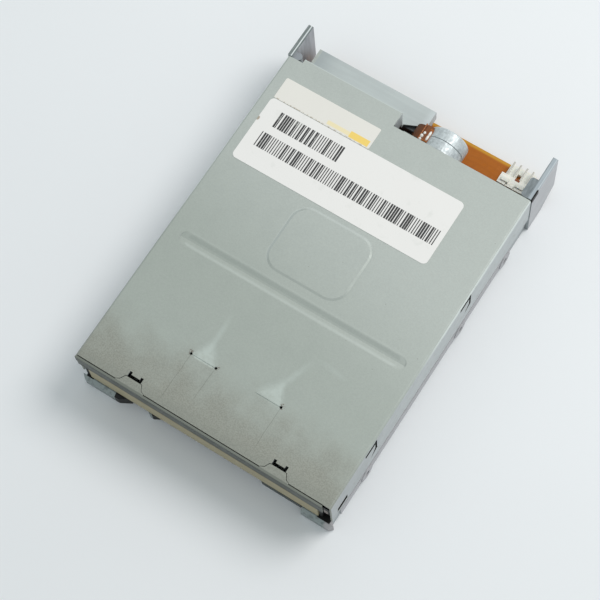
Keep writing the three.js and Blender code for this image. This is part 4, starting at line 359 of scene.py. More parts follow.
def cover_steel():
    look = Look("cover_steel", rgb(180, 186, 181), 0.46, 0.2)
    steel_bloom_and_shade(look)
    up = look.ramp(look.facing("Z"), 0.7, 0.95)
    # painted highlights to the rear of the two lances, where the pressed sheet tilts toward the lamp, broken
    # up by noise
    left = look.corner_patch([(-17.2, -51.6), (-7.4, -51.6), (-13.4, -43.6)], (0.6, 1.7, 1.9))
    right = look.corner_patch([(7.6, -51.0), (18.3, -51.5), (14.4, -43.0)], (1.3, 1.0, 2.2))
    tails = [
        look.spot(-13.2, -41.0, 1.7, 11.0, 0.03, 0.95),
        look.spot(15.9, -40.0, 1.8, 10.0, -0.32, 0.95),
        look.spot(26.0, -31.5, 9.0, 1.6, -0.12, 0.95),
    ]
    wear_and_sheen = look.blots(1.4, 3, 0.25, 0.6, 0.55, 1.0)
    look.tint((look.any_of(left, right), wear_and_sheen, up), rgb(196, 206, 200), 0.62)
    look.tint((look.any_of(*tails[:2]), wear_and_sheen, up), rgb(192, 202, 196), 0.4)
    look.tint((tails[2], wear_and_sheen, up), rgb(192, 202, 196), 0.2)
    # painted highlight along the left lance's lifted front lip, broken up by noise
    lip = look.both(look.patch(-16.0, -8.8, -52.0, -51.3, 0.2), look.blots(1.1, 3, 0.35, 0.6, 0.3, 1.0), up)
    look.tint(lip, rgb(210, 219, 213), 0.42)
    # painted light on the sheet's edges in front of the lances, against the shade in their openings, and rust
    # at the lances' ends
    edge = look.both(look.window("Y", -52.6, -51.0, 0.1), look.ramp(look.facing("Y"), -0.8, -0.4, 1.0, 0.0))
    look.tint((edge, look.window("X", -18, 19, 0.2)), rgb(244, 248, 245))
    rust = look.any_of(
        look.spot(-17.9, -50.9, 1.0, 1.5, 0.3),
        look.spot(-7.2, -51.0, 0.8, 1.2),
        look.spot(18.3, -50.9, 1.2, 1.4),
    )
    look.tint((rust, look.blots(0.5, 2, 0.4, 0.6), up), rgb(92, 74, 62), 0.85)
    # scratch lines from the lances' ends to the front edge
    wander = look.math("MULTIPLY", look.noise(9, 1), 0.9 * MM)
    place = look.math("ADD", look.axis("X"), wander)
    for x, start in ((-17.2, -69.5), (-7.5, -64.5), (18.6, -68.5)):
        near = look.math("ABSOLUTE", look.math("SUBTRACT", place, x * MM))
        line = look.both(look.ramp(near, 0.05 * MM, 0.16 * MM, 1.0, 0.0), look.window("Y", start, -51.8, 1.5))
        look.tint((line, up), rgb(110, 112, 104), 0.44)
    stamped_painted_light(look)
    # stepped flap over the connector: bluer, with a painted highlight along the crease
    flap = look.both(look.rise("Y", 60.8, 61.2), look.rise("X", -44.5, -44))
    look.tint(flap, rgb(187, 194, 194), 0.85)
    brushed = look.noise(1.2, 3, look.scaled(0.06, 1, 1))
    look.shade(look.both(look.ramp(brushed, 0.4, 0.65), flap), 1.0, 1.05)
    look.tint((flap, look.fall("X", -44, -35)), rgb(170, 178, 179), 0.8)
    look.tint((flap, look.rise("X", 0.0, 3)), rgb(206, 213, 214), 0.7)
    crease_highlight = look.both(look.window("Y", 60.9, 61.3, 0.25), look.window("X", -44.5, -3, 0.3))
    look.tint(crease_highlight, rgb(206, 214, 211), 0.8)
    # bends and skirts: painted shade on the bends, sides painted lighter and bluer, darker toward the front
    # end, a painted highlight along the top edge at the rear, and rust
    side = look.math("ABSOLUTE", look.facing("X"))
    # painted shade on the rounded bends, darkening the light that they catch
    bend = look.both(look.ramp(side, 0.10, 0.3), look.ramp(side, 0.45, 0.6, 1.0, 0.0))
    look.tint(bend, rgb(150, 158, 153), 0.45)
    skirt = look.ramp(side, 0.8, 0.95)
    skirt_front_darker = look.fall("Y", -62, -20)
    # painted light: the skirts lighter and bluer than the top, as lit from the side
    look.tint(skirt, rgb(184, 189, 191), 0.85)
    look.tint((skirt, skirt_front_darker), rgb(170, 174, 176), 0.6)
    # painted highlight along the skirts' top edge, toward the rear
    glint = look.both(look.ramp(side, 0.5, 0.7), look.rise("Z", 23.9, 24.2))
    look.tint((glint, look.rise("Y", -24, 4)), rgb(222, 229, 226), 0.8)
    # painted shade around the edge of the side slot
    slot_shade_ring = look.both(skirt, look.window("Y", -68.4, -62.2, 0.15), look.window("Z", 11.1, 14.7, 0.12))
    look.tint(slot_shade_ring, rgb(60, 62, 62), 0.6)
    # the inside of the slots and slits, painted black as shade
    shaded_slot_walls = look.band(look.math("ABSOLUTE", look.axis("X")), (49.92, 49.98), (50.4, 50.48))
    shaded_slot_walls = look.both(shaded_slot_walls, look.window("Y", -70, 25, 0.1), look.window("Z", 10.4, 24.2, 0.1))
    look.tint(shaded_slot_walls, rgb(8, 8, 8))
    rust = look.both(skirt, look.blots(2.2, 4, 0.56, 0.7))
    look.tint(rust, rgb(150, 146, 134), 0.3)
    return look.done()


def front_plate_steel():
    look = Look("front_plate_steel", rgb(180, 186, 181), 0.46, 0.2)
    steel_bloom_and_shade(look)
    strip = look.fall("Y", -71.95, -71.75)
    look.tint(strip, rgb(116, 120, 112))
    # painted shade on the faces that look forward, away from the lamp
    ahead = look.ramp(look.facing("Y"), -0.9, -0.4, 1.0, 0.0)
    look.tint(ahead, rgb(82, 86, 81))
    # painted highlight along the lower edge of the upper strip
    look.tint((ahead, look.window("Z", 20.7, 21.9, 0.25)), rgb(116, 120, 114))
    # painted shade under the plate's lower edge
    fold_shade = look.both(ahead, look.window("Z", 17.2, 18.0, 0.15))
    look.tint(fold_shade, rgb(60, 61, 57))
    # painted reflection of the door, brown, in that shade over the door's middle
    look.tint((fold_shade, look.window("X", -40.6, 35.6, 0.3)), rgb(126, 108, 74))
    pit = look.both(look.window("X", -41.3, -40.3, 0.15), look.window("Z", 17.3, 18.8, 0.2), ahead)
    look.tint(pit, rgb(28, 26, 24))
    streak = look.noise(1.4, 3, look.scaled(0.12, 1, 1))
    look.shade(look.both(ahead, streak), 1.0, 0.84)
    return look.done()


# Metals
def plain_metal(name, colour, roughness, metallic, mottle, spread, grain=0.25, bump=0.004):
    look = Look(name, colour, roughness, metallic)
    look.shade(look.noise(mottle, 4), 1 - spread, 1 + spread)
    look.rough(look.noise(mottle * 1.7, 3), roughness - 0.07, roughness + 0.08)
    look.raise_by(look.noise(grain, 2), bump)
    return look


def cast_frame():
    look = plain_metal("cast_frame", rgb(172, 178, 180), 0.5, 0.3, 4.0, 0.06, 0.35, 0.012)
    streak = look.noise(1.8, 3, look.scaled(1, 1, 0.1))
    look.shade(streak, 0.92, 1.07)
    up = look.ramp(look.facing("Z"), 0.6, 0.9)
    # front lips, with painted black shade on the slanted end of the left one and on the side of the hanging
    # tab, a painted highlight at the right lip's corner, and painted shade on the rib under the door
    lips = look.both(look.fall("Y", -71, -70), look.window("Z", -1, 6, 0.2))
    look.tint(lips, rgb(148, 158, 157), 0.9)
    look.tint((lips, look.blots(1.3, 3, 0.5, 0.62)), rgb(112, 120, 120), 0.6)
    # painted highlight at the corner of the right lip
    look.tint((lips, look.window("X", 47.6, 51, 0.4)), rgb(178, 175, 177), 0.9)
    # painted black shade on the slanted end of the left lip and on the side of the hanging tab
    ends = look.any_of(look.window("X", -37.2, -31.2, 0.12), look.window("X", -22.6, -19.9, 0.1))
    low = look.both(ends, look.window("Y", -73.6, -70, 0.1), look.window("Z", -1, 5.6, 0.1))
    look.tint(low, rgb(8, 9, 9))
    # painted shade on the rib under the door, on the right
    rib_shade = look.both(look.patch(21.5, 38.6, -73.6, -65, 0.1), look.window("Z", -1, 6.5, 0.1))
    look.tint(rib_shade, rgb(66, 74, 74), 0.9)
    # painted black shade on what the openings show: the front corners, the side slots and slits, and the
    # bosses' bores
    side = look.math("ABSOLUTE", look.axis("X"))
    pockets = look.any_of(look.window("X", 44.4, 49.3, 0.1), look.window("X", -49.4, -46.6, 0.1))
    corner_pocket_shade = look.both(pockets, look.window("Y", -72.7, -60, 0.1), look.window("Z", 5.15, 21, 0.1))
    look.tint(corner_pocket_shade, rgb(12, 12, 13))
    behind = look.band(side, (49.4, 49.6), (49.8, 49.9))
    through = look.any_of(*[look.window("Y", a, b, 0.1) for a, b in SIDE_OPENINGS])
    look.tint((behind, through, look.rise("Z", 9.6, 10)), rgb(12, 12, 13))
    bores = look.any_of(*[look.window("Y", y - 1.2, y + 1.2, 0.05) for y in BOSS_BORES])
    inside = look.both(bores, look.window("Z", 3.8, 6.2, 0.05), look.ramp(side, 48.6 * MM, 48.7 * MM))
    look.tint((inside, look.ramp(side, 50.5 * MM, 50.6 * MM, 1.0, 0.0)), rgb(10, 10, 10))
    outermost = look.ramp(side, 50.2 * MM, 50.4 * MM)
    sill = look.both(outermost, look.window("Y", -67, 44, 0.2), look.window("Z", 2, 8.6, 0.1))
    look.tint(sill, rgb(176, 174, 177), 0.85)
    # rear ears: bright outside, grooved bluish top with lines of painted highlight and painted shade along
    # it, streaked inside
    rear = look.rise("Y", 54, 56)
    ear = look.both(rear, look.ramp(side, 48.4 * MM, 48.9 * MM))
    outside = look.both(ear, look.ramp(look.math("ABSOLUTE", look.facing("X")), 0.6, 0.9))
    outer_side = look.both(outside, look.ramp(side, 50.5 * MM, 50.75 * MM))
    look.tint(outer_side, rgb(186, 186, 189), 0.85)
    ear_top = look.both(ear, up)
    left = look.fall("X", -1, 1)
    right = look.rise("X", -1, 1)
    # lines of painted highlight and painted shade along the ears' tops, for their rounded edges and grooves
    for half, x0, x1, colour, amount in (
        (left, -51, -48, rgb(112, 121, 119), 0.9), (left, -49.75, -49.35, rgb(240, 244, 244), 0.9),
        (left, -49.25, -48.95, rgb(92, 98, 100), 0.8),
        (right, 48, 51, rgb(160, 170, 177), 0.9), (right, 48.7, 49.2, rgb(120, 128, 132), 0.8),
        (right, 50.2, 50.55, rgb(204, 210, 212), 0.6),
    ):
        look.tint((ear_top, half, look.window("X", x0, x1, 0.1)), colour, amount)
    groove = look.ramp(look.noise(0.45, 2, look.scaled(1, 0.08, 1)), 0.42, 0.6)
    look.tint((ear_top, groove), rgb(190, 198, 201), 0.25)
    inner_side = look.both(outside, look.ramp(side, 50.5 * MM, 50.75 * MM, 1.0, 0.0))
    dark = look.ramp(look.noise(1.2, 4, look.scaled(1, 1, 0.08)), 0.38, 0.62)
    look.tint(inner_side, rgb(172, 171, 178), 0.85)
    look.tint((inner_side, dark), rgb(120, 124, 130), 0.55)
    # painted black shade where the right ear meets the cover's corner
    gap_shade = look.both(look.window("X", 50.25, 51, 0.06), look.window("Y", 54.6, 60.0, 0.4))
    look.tint((gap_shade, look.rise("Z", 22.6, 23.2)), rgb(10, 10, 11))
    # lugs beside the ears
    lug = look.both(
        rear, look.ramp(side, 45.5 * MM, 45.9 * MM), look.ramp(side, 48.6 * MM, 48.8 * MM, 1.0, 0.0),
        look.rise("Z", 18, 19),
    )
    streak = look.ramp(look.noise(0.8, 3, look.scaled(1, 0.2, 1)), 0.4, 0.62)
    look.tint((lug, right), rgb(110, 118, 122), 0.92)
    look.tint((lug, right, streak), rgb(150, 158, 162), 0.5)
    look.tint((lug, left), rgb(148, 153, 158), 0.85)
    # a little darker towards the base
    look.shade(look.rise("Z", 0.2, 6), 0.90, 1.0)
    look.raise_by(look.noise(2.5, 3), 0.012)
    return look.done()


def slider_steel():
    """The slide's steel, with painted black shade over its end face above and beside a lighter middle."""
    look = plain_metal("slider_steel", rgb(178, 184, 186), 0.36, 0.55, 3.0, 0.07, 0.3, 0.004)
    end = look.both(look.fall("Y", -70.3, -70.1), look.rise("X", 40, 41))
    wear_and_sheen = look.both(look.window("X", 46.7, 48.2, 0.15), look.fall("Z", 14.3, 14.9))
    # painted black shade over the end face, which sits in a dark corner
    look.tint(end, rgb(14, 14, 14))
    look.tint((end, wear_and_sheen), rgb(168, 156, 152), 0.9)
    return look.done()


def motor_steel():
    look = Look("motor_steel", rgb(202, 210, 212), 0.45, 0.3)
    spangle = look.noise(1.1, 5, rough=0.6)
    look.shade(look.ramp(spangle, 0.3, 0.7), 0.82, 1.1)
    flake = look.cells(0.9).outputs["Color"]
    shine = look.node("ShaderNodeSeparateXYZ")
    look.link(flake, shine.inputs[0])
    look.shade(shine.outputs[0], 0.93, 1.06)
    look.rough(shine.outputs[1], 0.38, 0.55)
    look.raise_by(spangle, 0.02)
    look.raise_by(look.noise(3.5, 2), 0.05)
    return look.done()


# Plastics, boards and films
def plastic(name, colour, roughness, spread=0.05, grain=0.3, bump=0.008, mottle=4.0):
    look = Look(name, colour, roughness)
    look.shade(look.noise(mottle, 3), 1 - spread, 1 + spread)
    look.rough(look.noise(mottle * 1.3, 3), roughness - 0.06, roughness + 0.07)
    look.raise_by(look.noise(grain, 2), bump)
    return look


def door_plastic():
    look = plastic("door_plastic", rgb(164, 155, 126), 0.52, 0.04)
    look.shade(look.noise(0.6, 2), 0.95, 1.04)
    # painted shade on the sunken front faces of the door
    recess_shade = look.both(look.rise("Y", -71.6, -71.3), look.ramp(look.facing("Y"), -0.9, -0.5, 1.0, 0.0))
    look.tint(recess_shade, rgb(112, 104, 82), 0.8)
    dust = look.noise(3, 4, look.scaled(0.3, 1, 1))
    look.tint(look.ramp(dust, 0.55, 0.75), rgb(140, 134, 112), 0.35)
    return look.done()


def power_plastic():
    look = plastic("power_plastic", rgb(240, 238, 229), 0.4, 0.03, 0.3, 0.004)
    up = look.ramp(look.facing("Z"), 0.6, 0.9)
    hole = look.both(look.patch(39.2, 41.0, 65.1, 66.9, 0.06), up)
    look.tint(hole, rgb(128, 58, 14))
    dirt = look.both(look.fall("Y", 63, 64), look.blots(1, 3, 0.45, 0.6))
    look.tint(dirt, rgb(206, 202, 188), 0.5)
    return look.done(Subsurface_Weight=0.05)


def circuit_board():
    look = Look("circuit_board", rgb(176, 98, 8), 0.4)
    look.shade(look.noise(7, 3), 0.94, 1.05)
    lane = look.node("ShaderNodeTexBrick", offset=0.5, squash=1.0)
    lane.inputs["Scale"].default_value = 1 / (11 * MM)
    for key, value in (
        ("Mortar Size", 0.045), ("Mortar Smooth", 0.1), ("Brick Width", 0.62), ("Row Height", 0.21),
    ):
        lane.inputs[key].default_value = value
    wavy = look.node("ShaderNodeVectorMath", operation="ADD")
    look.link(look.coords, wavy.inputs[0])
    soft = look.node("ShaderNodeVectorMath", operation="SCALE")
    cloud = look.cells(9, feature="SMOOTH_F1").outputs["Color"]
    look.link(cloud, soft.inputs[0])
    soft.inputs["Scale"].default_value = 1.5 * MM
    look.link(soft.outputs[0], wavy.inputs[1])
    look.link(wavy.outputs[0], lane.inputs["Vector"])
    trace = lane.outputs["Fac"]
    down = look.ramp(look.facing("Z"), -0.8, -0.4, 1.0, 0.0)
    look.tint((trace, look.ramp(down, 0, 1, 0.10, 0.6)), rgb(144, 76, 8))
    look.raise_by(trace, 0.015)
    edge = look.any_of(
        look.rise("Y", 71.0, 71.9),
        look.ramp(look.math("ABSOLUTE", look.facing("Z")), 0.3, 0.6, 1.0, 0.0),
    )
    look.tint(edge, rgb(204, 148, 40), 0.9)
    look.rough(look.noise(3, 3), 0.32, 0.46)
    look.raise_by(look.noise(0.2, 2), 0.002)
    return look.done(Coat_Weight=0.03, Coat_Roughness=0.3, Specular_IOR_Level=0.3)


def flex_film():
    look = Look("flex_film", rgb(166, 94, 22), 0.34)
    look.shade(look.noise(2, 3), 0.92, 1.06)
    lines = look.node("ShaderNodeTexWave", wave_type="BANDS", bands_direction="Y")
    lines.inputs["Scale"].default_value = 1 / (3.2 * MM)
    look.link(look.coords, lines.inputs["Vector"])
    look.mix(look.ramp(lines.outputs["Fac"], 0.5, 0.75, 0.0, 0.6), rgb(122, 52, 16))
    look.raise_by(lines.outputs["Fac"], 0.02)
    return look.done(Coat_Weight=0.25, Coat_Roughness=0.2)


def copper_wire():
    look = Look("copper_wire", rgb(184, 96, 48), 0.35, 0.8)
    turns = look.node("ShaderNodeTexWave", wave_type="RINGS", rings_direction="Z")
    turns.inputs["Scale"].default_value = 1 / (1.4 * MM)
    look.link(look.coords, turns.inputs["Vector"])
    look.shade(turns.outputs["Fac"], 0.7, 1.1)
    look.raise_by(turns.outputs["Fac"], 0.08)
    return look.done()


# Labels: paper with plain bars of chance widths, and no lettering
def label_bars(look, rows):
    """Rows of thin and thick bars in chance order. A row has two ends, two levels and a seed."""
    top = look.ramp(look.facing("Z"), 0.5, 0.6)
    for x0, x1, y0, y1, seed in rows:
        place = look.math("SUBTRACT", look.axis("X"), x0 * MM)
        count = look.math("MULTIPLY", place, 1 / (BAR_PITCH * MM))
        share = look.math("FRACT", count)
        chance = look.node("ShaderNodeTexWhiteNoise", noise_dimensions="1D")
        look.link(look.math("ADD", look.math("FLOOR", count), seed), chance.inputs["W"])
        level = chance.outputs["Value"]
        # each bar's chance level says where it starts in its pitch, and whether it is thin or thick
        start = look.math("MULTIPLY", look.math("FRACT", look.math("MULTIPLY", level, 7)), 0.16)
        wide = look.ramp(level, 0.52, 0.54, 0.46, 0.82, smooth=False)
        rise = look.ramp(look.math("SUBTRACT", share, start), 0.0, 0.05, smooth=False)
        fall = look.ramp(look.math("SUBTRACT", look.math("ADD", start, wide), share), 0.0, 0.05, smooth=False)
        dark = look.both(rise, fall)
        look.tint((dark, look.patch(x0, x1, y0, y1, 0.05), top), rgb(26, 26, 28), 0.97)


def paper(name, colour):
    look = plastic(name, colour, 0.5, 0.012, 0.5, 0.004, 14)
    look.shade(look.noise(0.35, 2), 0.985, 1.01)
    return look


def label_white():
    look = paper("label_white", rgb(238, 236, 233))
    label_bars(look, ((-40.3, -13.9, 32.95, 39.35, 3), (-42.0, 30.7, 23.75, 29.85, 91)))
    soil = look.blots(5, 4, 0.58, 0.75)
    look.tint(soil, rgb(214, 216, 210), 0.35)
    look.tint(look.spot(-46.2, 33.3, 0.7, 1.1), rgb(150, 132, 104), 0.8)
    return look.done()


def label_cream():
    look = paper("label_cream", rgb(232, 229, 222))
    look.tint(look.patch(-24.7, -15.5, 43.7, 45.3, 0.25), rgb(246, 226, 156), 0.6)
    look.tint(look.patch(-15.6, -7.9, 43.4, 45.9, 0.12), rgb(247, 212, 104), 0.95)
    wear_and_sheen = look.both(look.fall("Y", 43.0, 43.5), look.blots(1, 3, 0.45, 0.6))
    look.tint(wear_and_sheen, rgb(160, 140, 110), 0.6)
    return look.done()


# A look for each material slot, and own looks for single nodes
looks = {
    "cover_steel": cover_steel(),
    "plate_steel": plain_metal("plate_steel", rgb(128, 132, 130), 0.45, 0.5, 2.5, 0.08).done(),
    "cast_frame": cast_frame(),
    "bright_steel": plain_metal("bright_steel", rgb(200, 205, 207), 0.3, 0.75, 1.6, 0.10, 0.2, 0.003).done(),
    "spring_steel": plain_metal("spring_steel", rgb(176, 179, 180), 0.3, 0.85, 1.0, 0.08, 0.15, 0.002).done(),
    "sheet_steel": plain_metal("sheet_steel", rgb(178, 184, 186), 0.36, 0.55, 3.0, 0.07, 0.3, 0.004).done(),
    "bearing_brass": plain_metal(
        "bearing_brass", rgb(186, 152, 86), 0.34, 0.85, 1.5, 0.08, 0.2, 0.003
    ).done(),
    "door_plastic": door_plastic(),
    "ivory_plastic": plastic("ivory_plastic", rgb(236, 231, 214), 0.42).done(),
    "black_plastic": plastic("black_plastic", rgb(36, 37, 39), 0.5).done(),
    "grey_plastic": plastic("grey_plastic", rgb(84, 88, 90), 0.46).done(),
    "circuit_board": circuit_board(),
    "flex_film": flex_film(),
    "ferrite": plastic("ferrite", rgb(50, 49, 51), 0.6, 0.1, 0.2, 0.01).done(),
    "head_ceramic": plastic("head_ceramic", rgb(214, 208, 194), 0.2, 0.03, 0.2, 0.001).done(),
    "label_white": label_white(),
    "label_cream": label_cream(),
}
own_looks = {
    "stepper_front_cup": motor_steel(),
    "front_plate": front_plate_steel(),
    "power_connector": power_plastic(),
    "eject_slider": slider_steel(),
    "terminal_block": plastic("terminal_brown", rgb(124, 70, 26), 0.5).done(),
}
own_looks["stepper_rear_cup"] = own_looks["stepper_front_cup"]
pin_look = plain_metal("pin_steel", rgb(196, 194, 186), 0.38, 0.45, 1.0, 0.08, 0.2, 0.003).done()
for count in range(1, 5):
    own_looks[f"power_pin_{count}"] = pin_look

slot_of = {part["node"]: part["material_slot"] for part in frame["record"]["subparts"]}
for name, obj in nodes.items():
    look = own_looks.get(name, looks[slot_of[name]])
    if not obj.material_slots:
        obj.data.materials.append(look)
    for held in obj.material_slots:
        held.material = look


# Edges of the solids
def soften(obj, width):
    """Joins the facets of the flat faces and rounds the edges."""
    weld = obj.modifiers.new("weld", "WELD")
    weld.merge_threshold = 0.002 * MM
    flat = obj.modifiers.new("flat", "DECIMATE")
    flat.decimate_type = "DISSOLVE"
    flat.angle_limit = math.radians(1)
    bevel = obj.modifiers.new("bevel", "BEVEL")
    bevel.width = width * MM
    bevel.segments = 2
    bevel.limit_method = "ANGLE"
    bevel.angle_limit = math.radians(30)
    bevel.use_clamp_overlap = True
    bevel.harden_normals = False


edge_widths = {"chassis": 0.25, "top_cover": 0.2, "front_plate": 0.12, "front_door": 0.2}
for name, obj in nodes.items():
    soften(obj, edge_widths.get(name, 0.08))


# Mesh makers, in millimetres of the shared frame
def corners(name):
    """The lowest and highest corner of a node's box."""
    return [Vector(corner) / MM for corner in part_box(name)]


def tube(bm, points, radius, sides):
    """A round tube along a path, with closed ends."""
    rings = []
    points = [Vector(p) for p in points]
    side = None
    for i, here in enumerate(points):
        along = (points[min(i + 1, len(points) - 1)] - points[max(i - 1, 0)]).normalized()
        if side is None:
            side = along.orthogonal().normalized()
        side = (side - along * side.dot(along)).normalized()
        other = along.cross(side)
        ring = []
        for k in range(sides):
            angle = 2 * math.pi * k / sides
            place = here + (side * math.cos(angle) + other * math.sin(angle)) * radius
            ring.append(bm.verts.new(place * MM))
        rings.append(ring)
    bridge(bm, rings)


def bridge(bm, rings):
    """Joins rings of points into a closed skin."""
    for a, b in zip(rings, rings[1:]):
        for k in range(len(a)):
            j = (k + 1) % len(a)
            bm.faces.new((a[k], a[j], b[j], b[k]))
    bm.faces.new(list(reversed(rings[0])))
    bm.faces.new(rings[-1])


def lump(bm, centre, sizes, steps, rows, power, way):
    """A rounded blob, such as a solder joint. It stands on its centre, or hangs where way is -1."""
    rings = []
    for row in range(rows):
        level = row / (rows - 1)
        reach = (1 - level ** power) ** (1 / power) if row < rows - 1 else 0.12
        ring = []
        for k in range(steps):
            angle = 2 * math.pi * k / steps
            ring.append(bm.verts.new(Vector((
                centre[0] + sizes[0] * reach * math.cos(angle),
                centre[1] + sizes[1] * reach * math.sin(angle),
                centre[2] + way * sizes[2] * level,
            )) * MM))
        rings.append(ring)
    bridge(bm, rings)


def block(bm, low, high, material=0, taper=0.0):
    """A small moulded block whose far side, along Z, is drawn in a little."""
    x0, y0, z0 = low
    x1, y1, z1 = high
    rings = []
    for inset, z in ((0.0, z0), (taper, z1)):
        left, right, front, rear = x0 + inset, x1 - inset, y0 + inset, y1 - inset
        outline = ((left, front), (right, front), (right, rear), (left, rear))
        rings.append([bm.verts.new(Vector((x, y, z)) * MM) for x, y in outline])
    before = set(bm.faces)
    bridge(bm, rings)
    for face in set(bm.faces) - before:
        face.material_index = material


def piece(name, bm, body, materials, replaced, smooth):
    """Makes the mesh an object."""
    bmesh.ops.recalc_face_normals(bm, faces=bm.faces)
    mesh = bpy.data.meshes.new(name)
    bm.to_mesh(mesh)
    bm.free()
    for material in materials:
        mesh.materials.append(material)
    for poly in mesh.polygons:
        poly.use_smooth = True
    mesh.set_sharp_from_angle(angle=math.radians(smooth))
    obj = bpy.data.objects.new(name, mesh)
    bpy.context.scene.collection.objects.link(obj)
    if body:
        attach(obj, body)
    if replaced:
        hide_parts(*replaced)
    return obj


# Lead screw: a rod with a rolled groove that the carriage's needle sits in
def lead_screw():
    low, high = corners("lead_screw")
    x, z = (low.x + high.x) / 2, (low.z + high.z) / 2
    radius, depth, half = 1.49, 0.4, 0.75
    tip, front_neck, rear_neck = 0.4, 1.6, 5
    needle = (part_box("carriage_needle")[0][1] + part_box("carriage_needle")[1][1]) / 2 / MM
    sides, stations = 28, 240
    bm = bmesh.new()
    rings = []
    for i in range(stations + 1):
        y = low.y + (high.y - low.y) * i / stations
        ring = []
        for k in range(sides):
            angle = 2 * math.pi * k / sides
            off = (y - needle - SCREW_LEAD * angle / (2 * math.pi)) % SCREW_LEAD
            off = min(off, SCREW_LEAD - off)
            size = radius - depth * max(0.0, 1 - (off / half) ** 2)
            if y < low.y + front_neck or y > high.y - rear_neck:
                size = radius * 0.8
            if y < low.y + tip:
                size = radius * 0.6
            place = Vector((x + size * math.sin(angle), y, z + size * math.cos(angle)))
            ring.append(bm.verts.new(place * MM))
        rings.append(ring)
    bridge(bm, rings)
    piece("lead_screw_thread", bm, "screw", [looks["bright_steel"]], ["lead_screw"], 60)


# Coil springs
def coil_points(turns, radius, start, end, steps):
    """Points of a coil along Y, centred on X and Z."""
    total = int(turns * steps)
    points = []
    for i in range(total + 1):
        share = i / total
        angle = 2 * math.pi * turns * share
        points.append((radius * math.sin(angle), start + (end - start) * share, radius * math.cos(angle)))
    return points


def eject_springs():
    for side in ("left", "right"):
        low, high = corners(f"eject_spring_{side}")
        x, z = (low.x + high.x) / 2, (low.z + high.z) / 2
        wire = 0.2
        reach = (high.x - low.x) / 2 - wire
        coil = coil_points(20, reach, low.y + 1.3, high.y - 1.9, 12)
        # the rear end lies low, so that it passes under the slide's arm when the holder drops
        drop = 0.3
        front_end = [(0, low.y + wire, 0), (0, low.y + 0.9, 0)]
        rear_end = [(0, high.y - 1.5, -drop), (0, high.y - wire, -drop)]
        path = front_end + coil + rear_end
        bm = bmesh.new()
        tube(bm, [(x + p[0], p[1], z + p[2]) for p in path], wire, 6)
        made = piece(
            f"eject_coil_{side}", bm, "holder",
            [looks["spring_steel"]], [f"eject_spring_{side}"], 80,
        )
        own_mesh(made)


def arm_spring():
    low, high = corners("arm_spring")
    y, z = (low.y + high.y) / 2, (low.z + high.z) / 2
    wire = 0.19
    reach = (high.z - low.z) / 2 - wire
    bm = bmesh.new()
    coil = coil_points(3.9, reach, low.x + wire, high.x - wire, 18)
    tube(bm, [(p[1], y + p[0], z + p[2]) for p in coil], wire, 6)
    piece("arm_coil", bm, "carriage", [looks["spring_steel"]], ["arm_spring"], 80)


# Heads' film: up from its connector, over to the carriage and down its side
def head_flex():
    low, high = corners("head_film")
    socket = corners("film_connector")
    thick, bend = 0.24, 1.2
    left, right, top = low.x + thick / 2, high.x - thick / 2, high.z - thick / 2
    # points of the path, each with the way that the band's outer face looks
    path = [(left, low.z, -1, 0), (left, top - bend, -1, 0)]
    quarter = [math.pi / 2 * k / 6 for k in range(1, 6)]
    for angle in quarter:
        c, s = math.cos(angle), math.sin(angle)
        path.append((left + bend - bend * c, top - bend + bend * s, -c, s))
    web = 16
    path += [(left + bend + (right - left - 2 * bend) * k / web, top, 0, 1) for k in range(web + 1)]
    for angle in quarter:
        c, s = math.cos(angle), math.sin(angle)
        path.append((right - bend + bend * s, top - bend + bend * c, s, c))
    path += [(right, top - bend, 1, 0), (right, low.z + 2.4, 1, 0)]
    near, far = (socket[0].y + 0.2, socket[1].y - 0.2), (high.y - 6, high.y)
    bm = bmesh.new()
    rings = []
    for x, z, nx, nz in path:
        share = min(1, max(0, (x - left - bend) / (right - left - 2 * bend)))
        share = share * share * (3 - 2 * share)
        y0, y1 = (a + (b - a) * share for a, b in zip(near, far))
        half = thick / 2
        outline = ((y0, -half), (y1, -half), (y1, half), (y0, half))
        rings.append([bm.verts.new(Vector((x + nx * off, y, z + nz * off)) * MM) for y, off in outline])
    bridge(bm, rings)
    made = piece("head_flex", bm, None, [looks["flex_film"]], ["head_film"], 30)
    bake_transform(made)


# Solder and leads
solder = plain_metal("solder", rgb(206, 209, 210), 0.3, 0.7, 0.8, 0.08, 0.3, 0.004).done()
solder_white = plastic("solder_white", rgb(240, 240, 234), 0.34, 0.03, 0.3, 0.004, 1.0).done()
resistor_black = plastic("resistor_black", rgb(38, 38, 42), 0.4, 0.05, 0.2, 0.002, 1.0).done()
capacitor_tan = plastic("capacitor_tan", rgb(166, 132, 96), 0.4, 0.05, 0.2, 0.002, 1.0).done()


def chip_leads():
    """Bent leads around the chips under the board: on four sides of one and on two of the other."""
    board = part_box("main_board")[0][2] / MM
    for chip, sides in (("controller_chip", 4), ("driver_chip", 2)):
        low, high = corners(chip)
        bm = bmesh.new()
        pitch = 0.8 if sides == 4 else 1.27
        out, wide, thick = 1.1, pitch * 0.22, 0.12
        level, foot = (low.z + high.z) / 2, board - thick - 0.02
        runs = [("x", low.x, high.x, low.y, -1), ("x", low.x, high.x, high.y, 1)]
        if sides == 4:
            runs += [("y", low.y, high.y, low.x, -1), ("y", low.y, high.y, high.x, 1)]
        for along, start, end, edge, way in runs:
            count = int((end - start - 1.2) / pitch)
            first = (start + end) / 2 - (count - 1) * pitch / 2
            for k in range(count):
                place = first + k * pitch
                steps = [
                    (edge - way * 0.2, level), (edge + way * out * 0.35, level),
                    (edge + way * out * 0.6, foot), (edge + way * out, foot),
                ]
                rings = []
                for far, height in steps:
                    ring = []
                    for across, lift in ((-wide, -thick), (wide, -thick), (wide, thick), (-wide, thick)):
                        spot = (place + across, far) if along == "x" else (far, place + across)
                        ring.append(bm.verts.new(Vector((*spot, height + lift)) * MM))
                    rings.append(ring)
                bridge(bm, rings)
        piece(f"{chip}_leads", bm, "frame", [solder], (), 30)


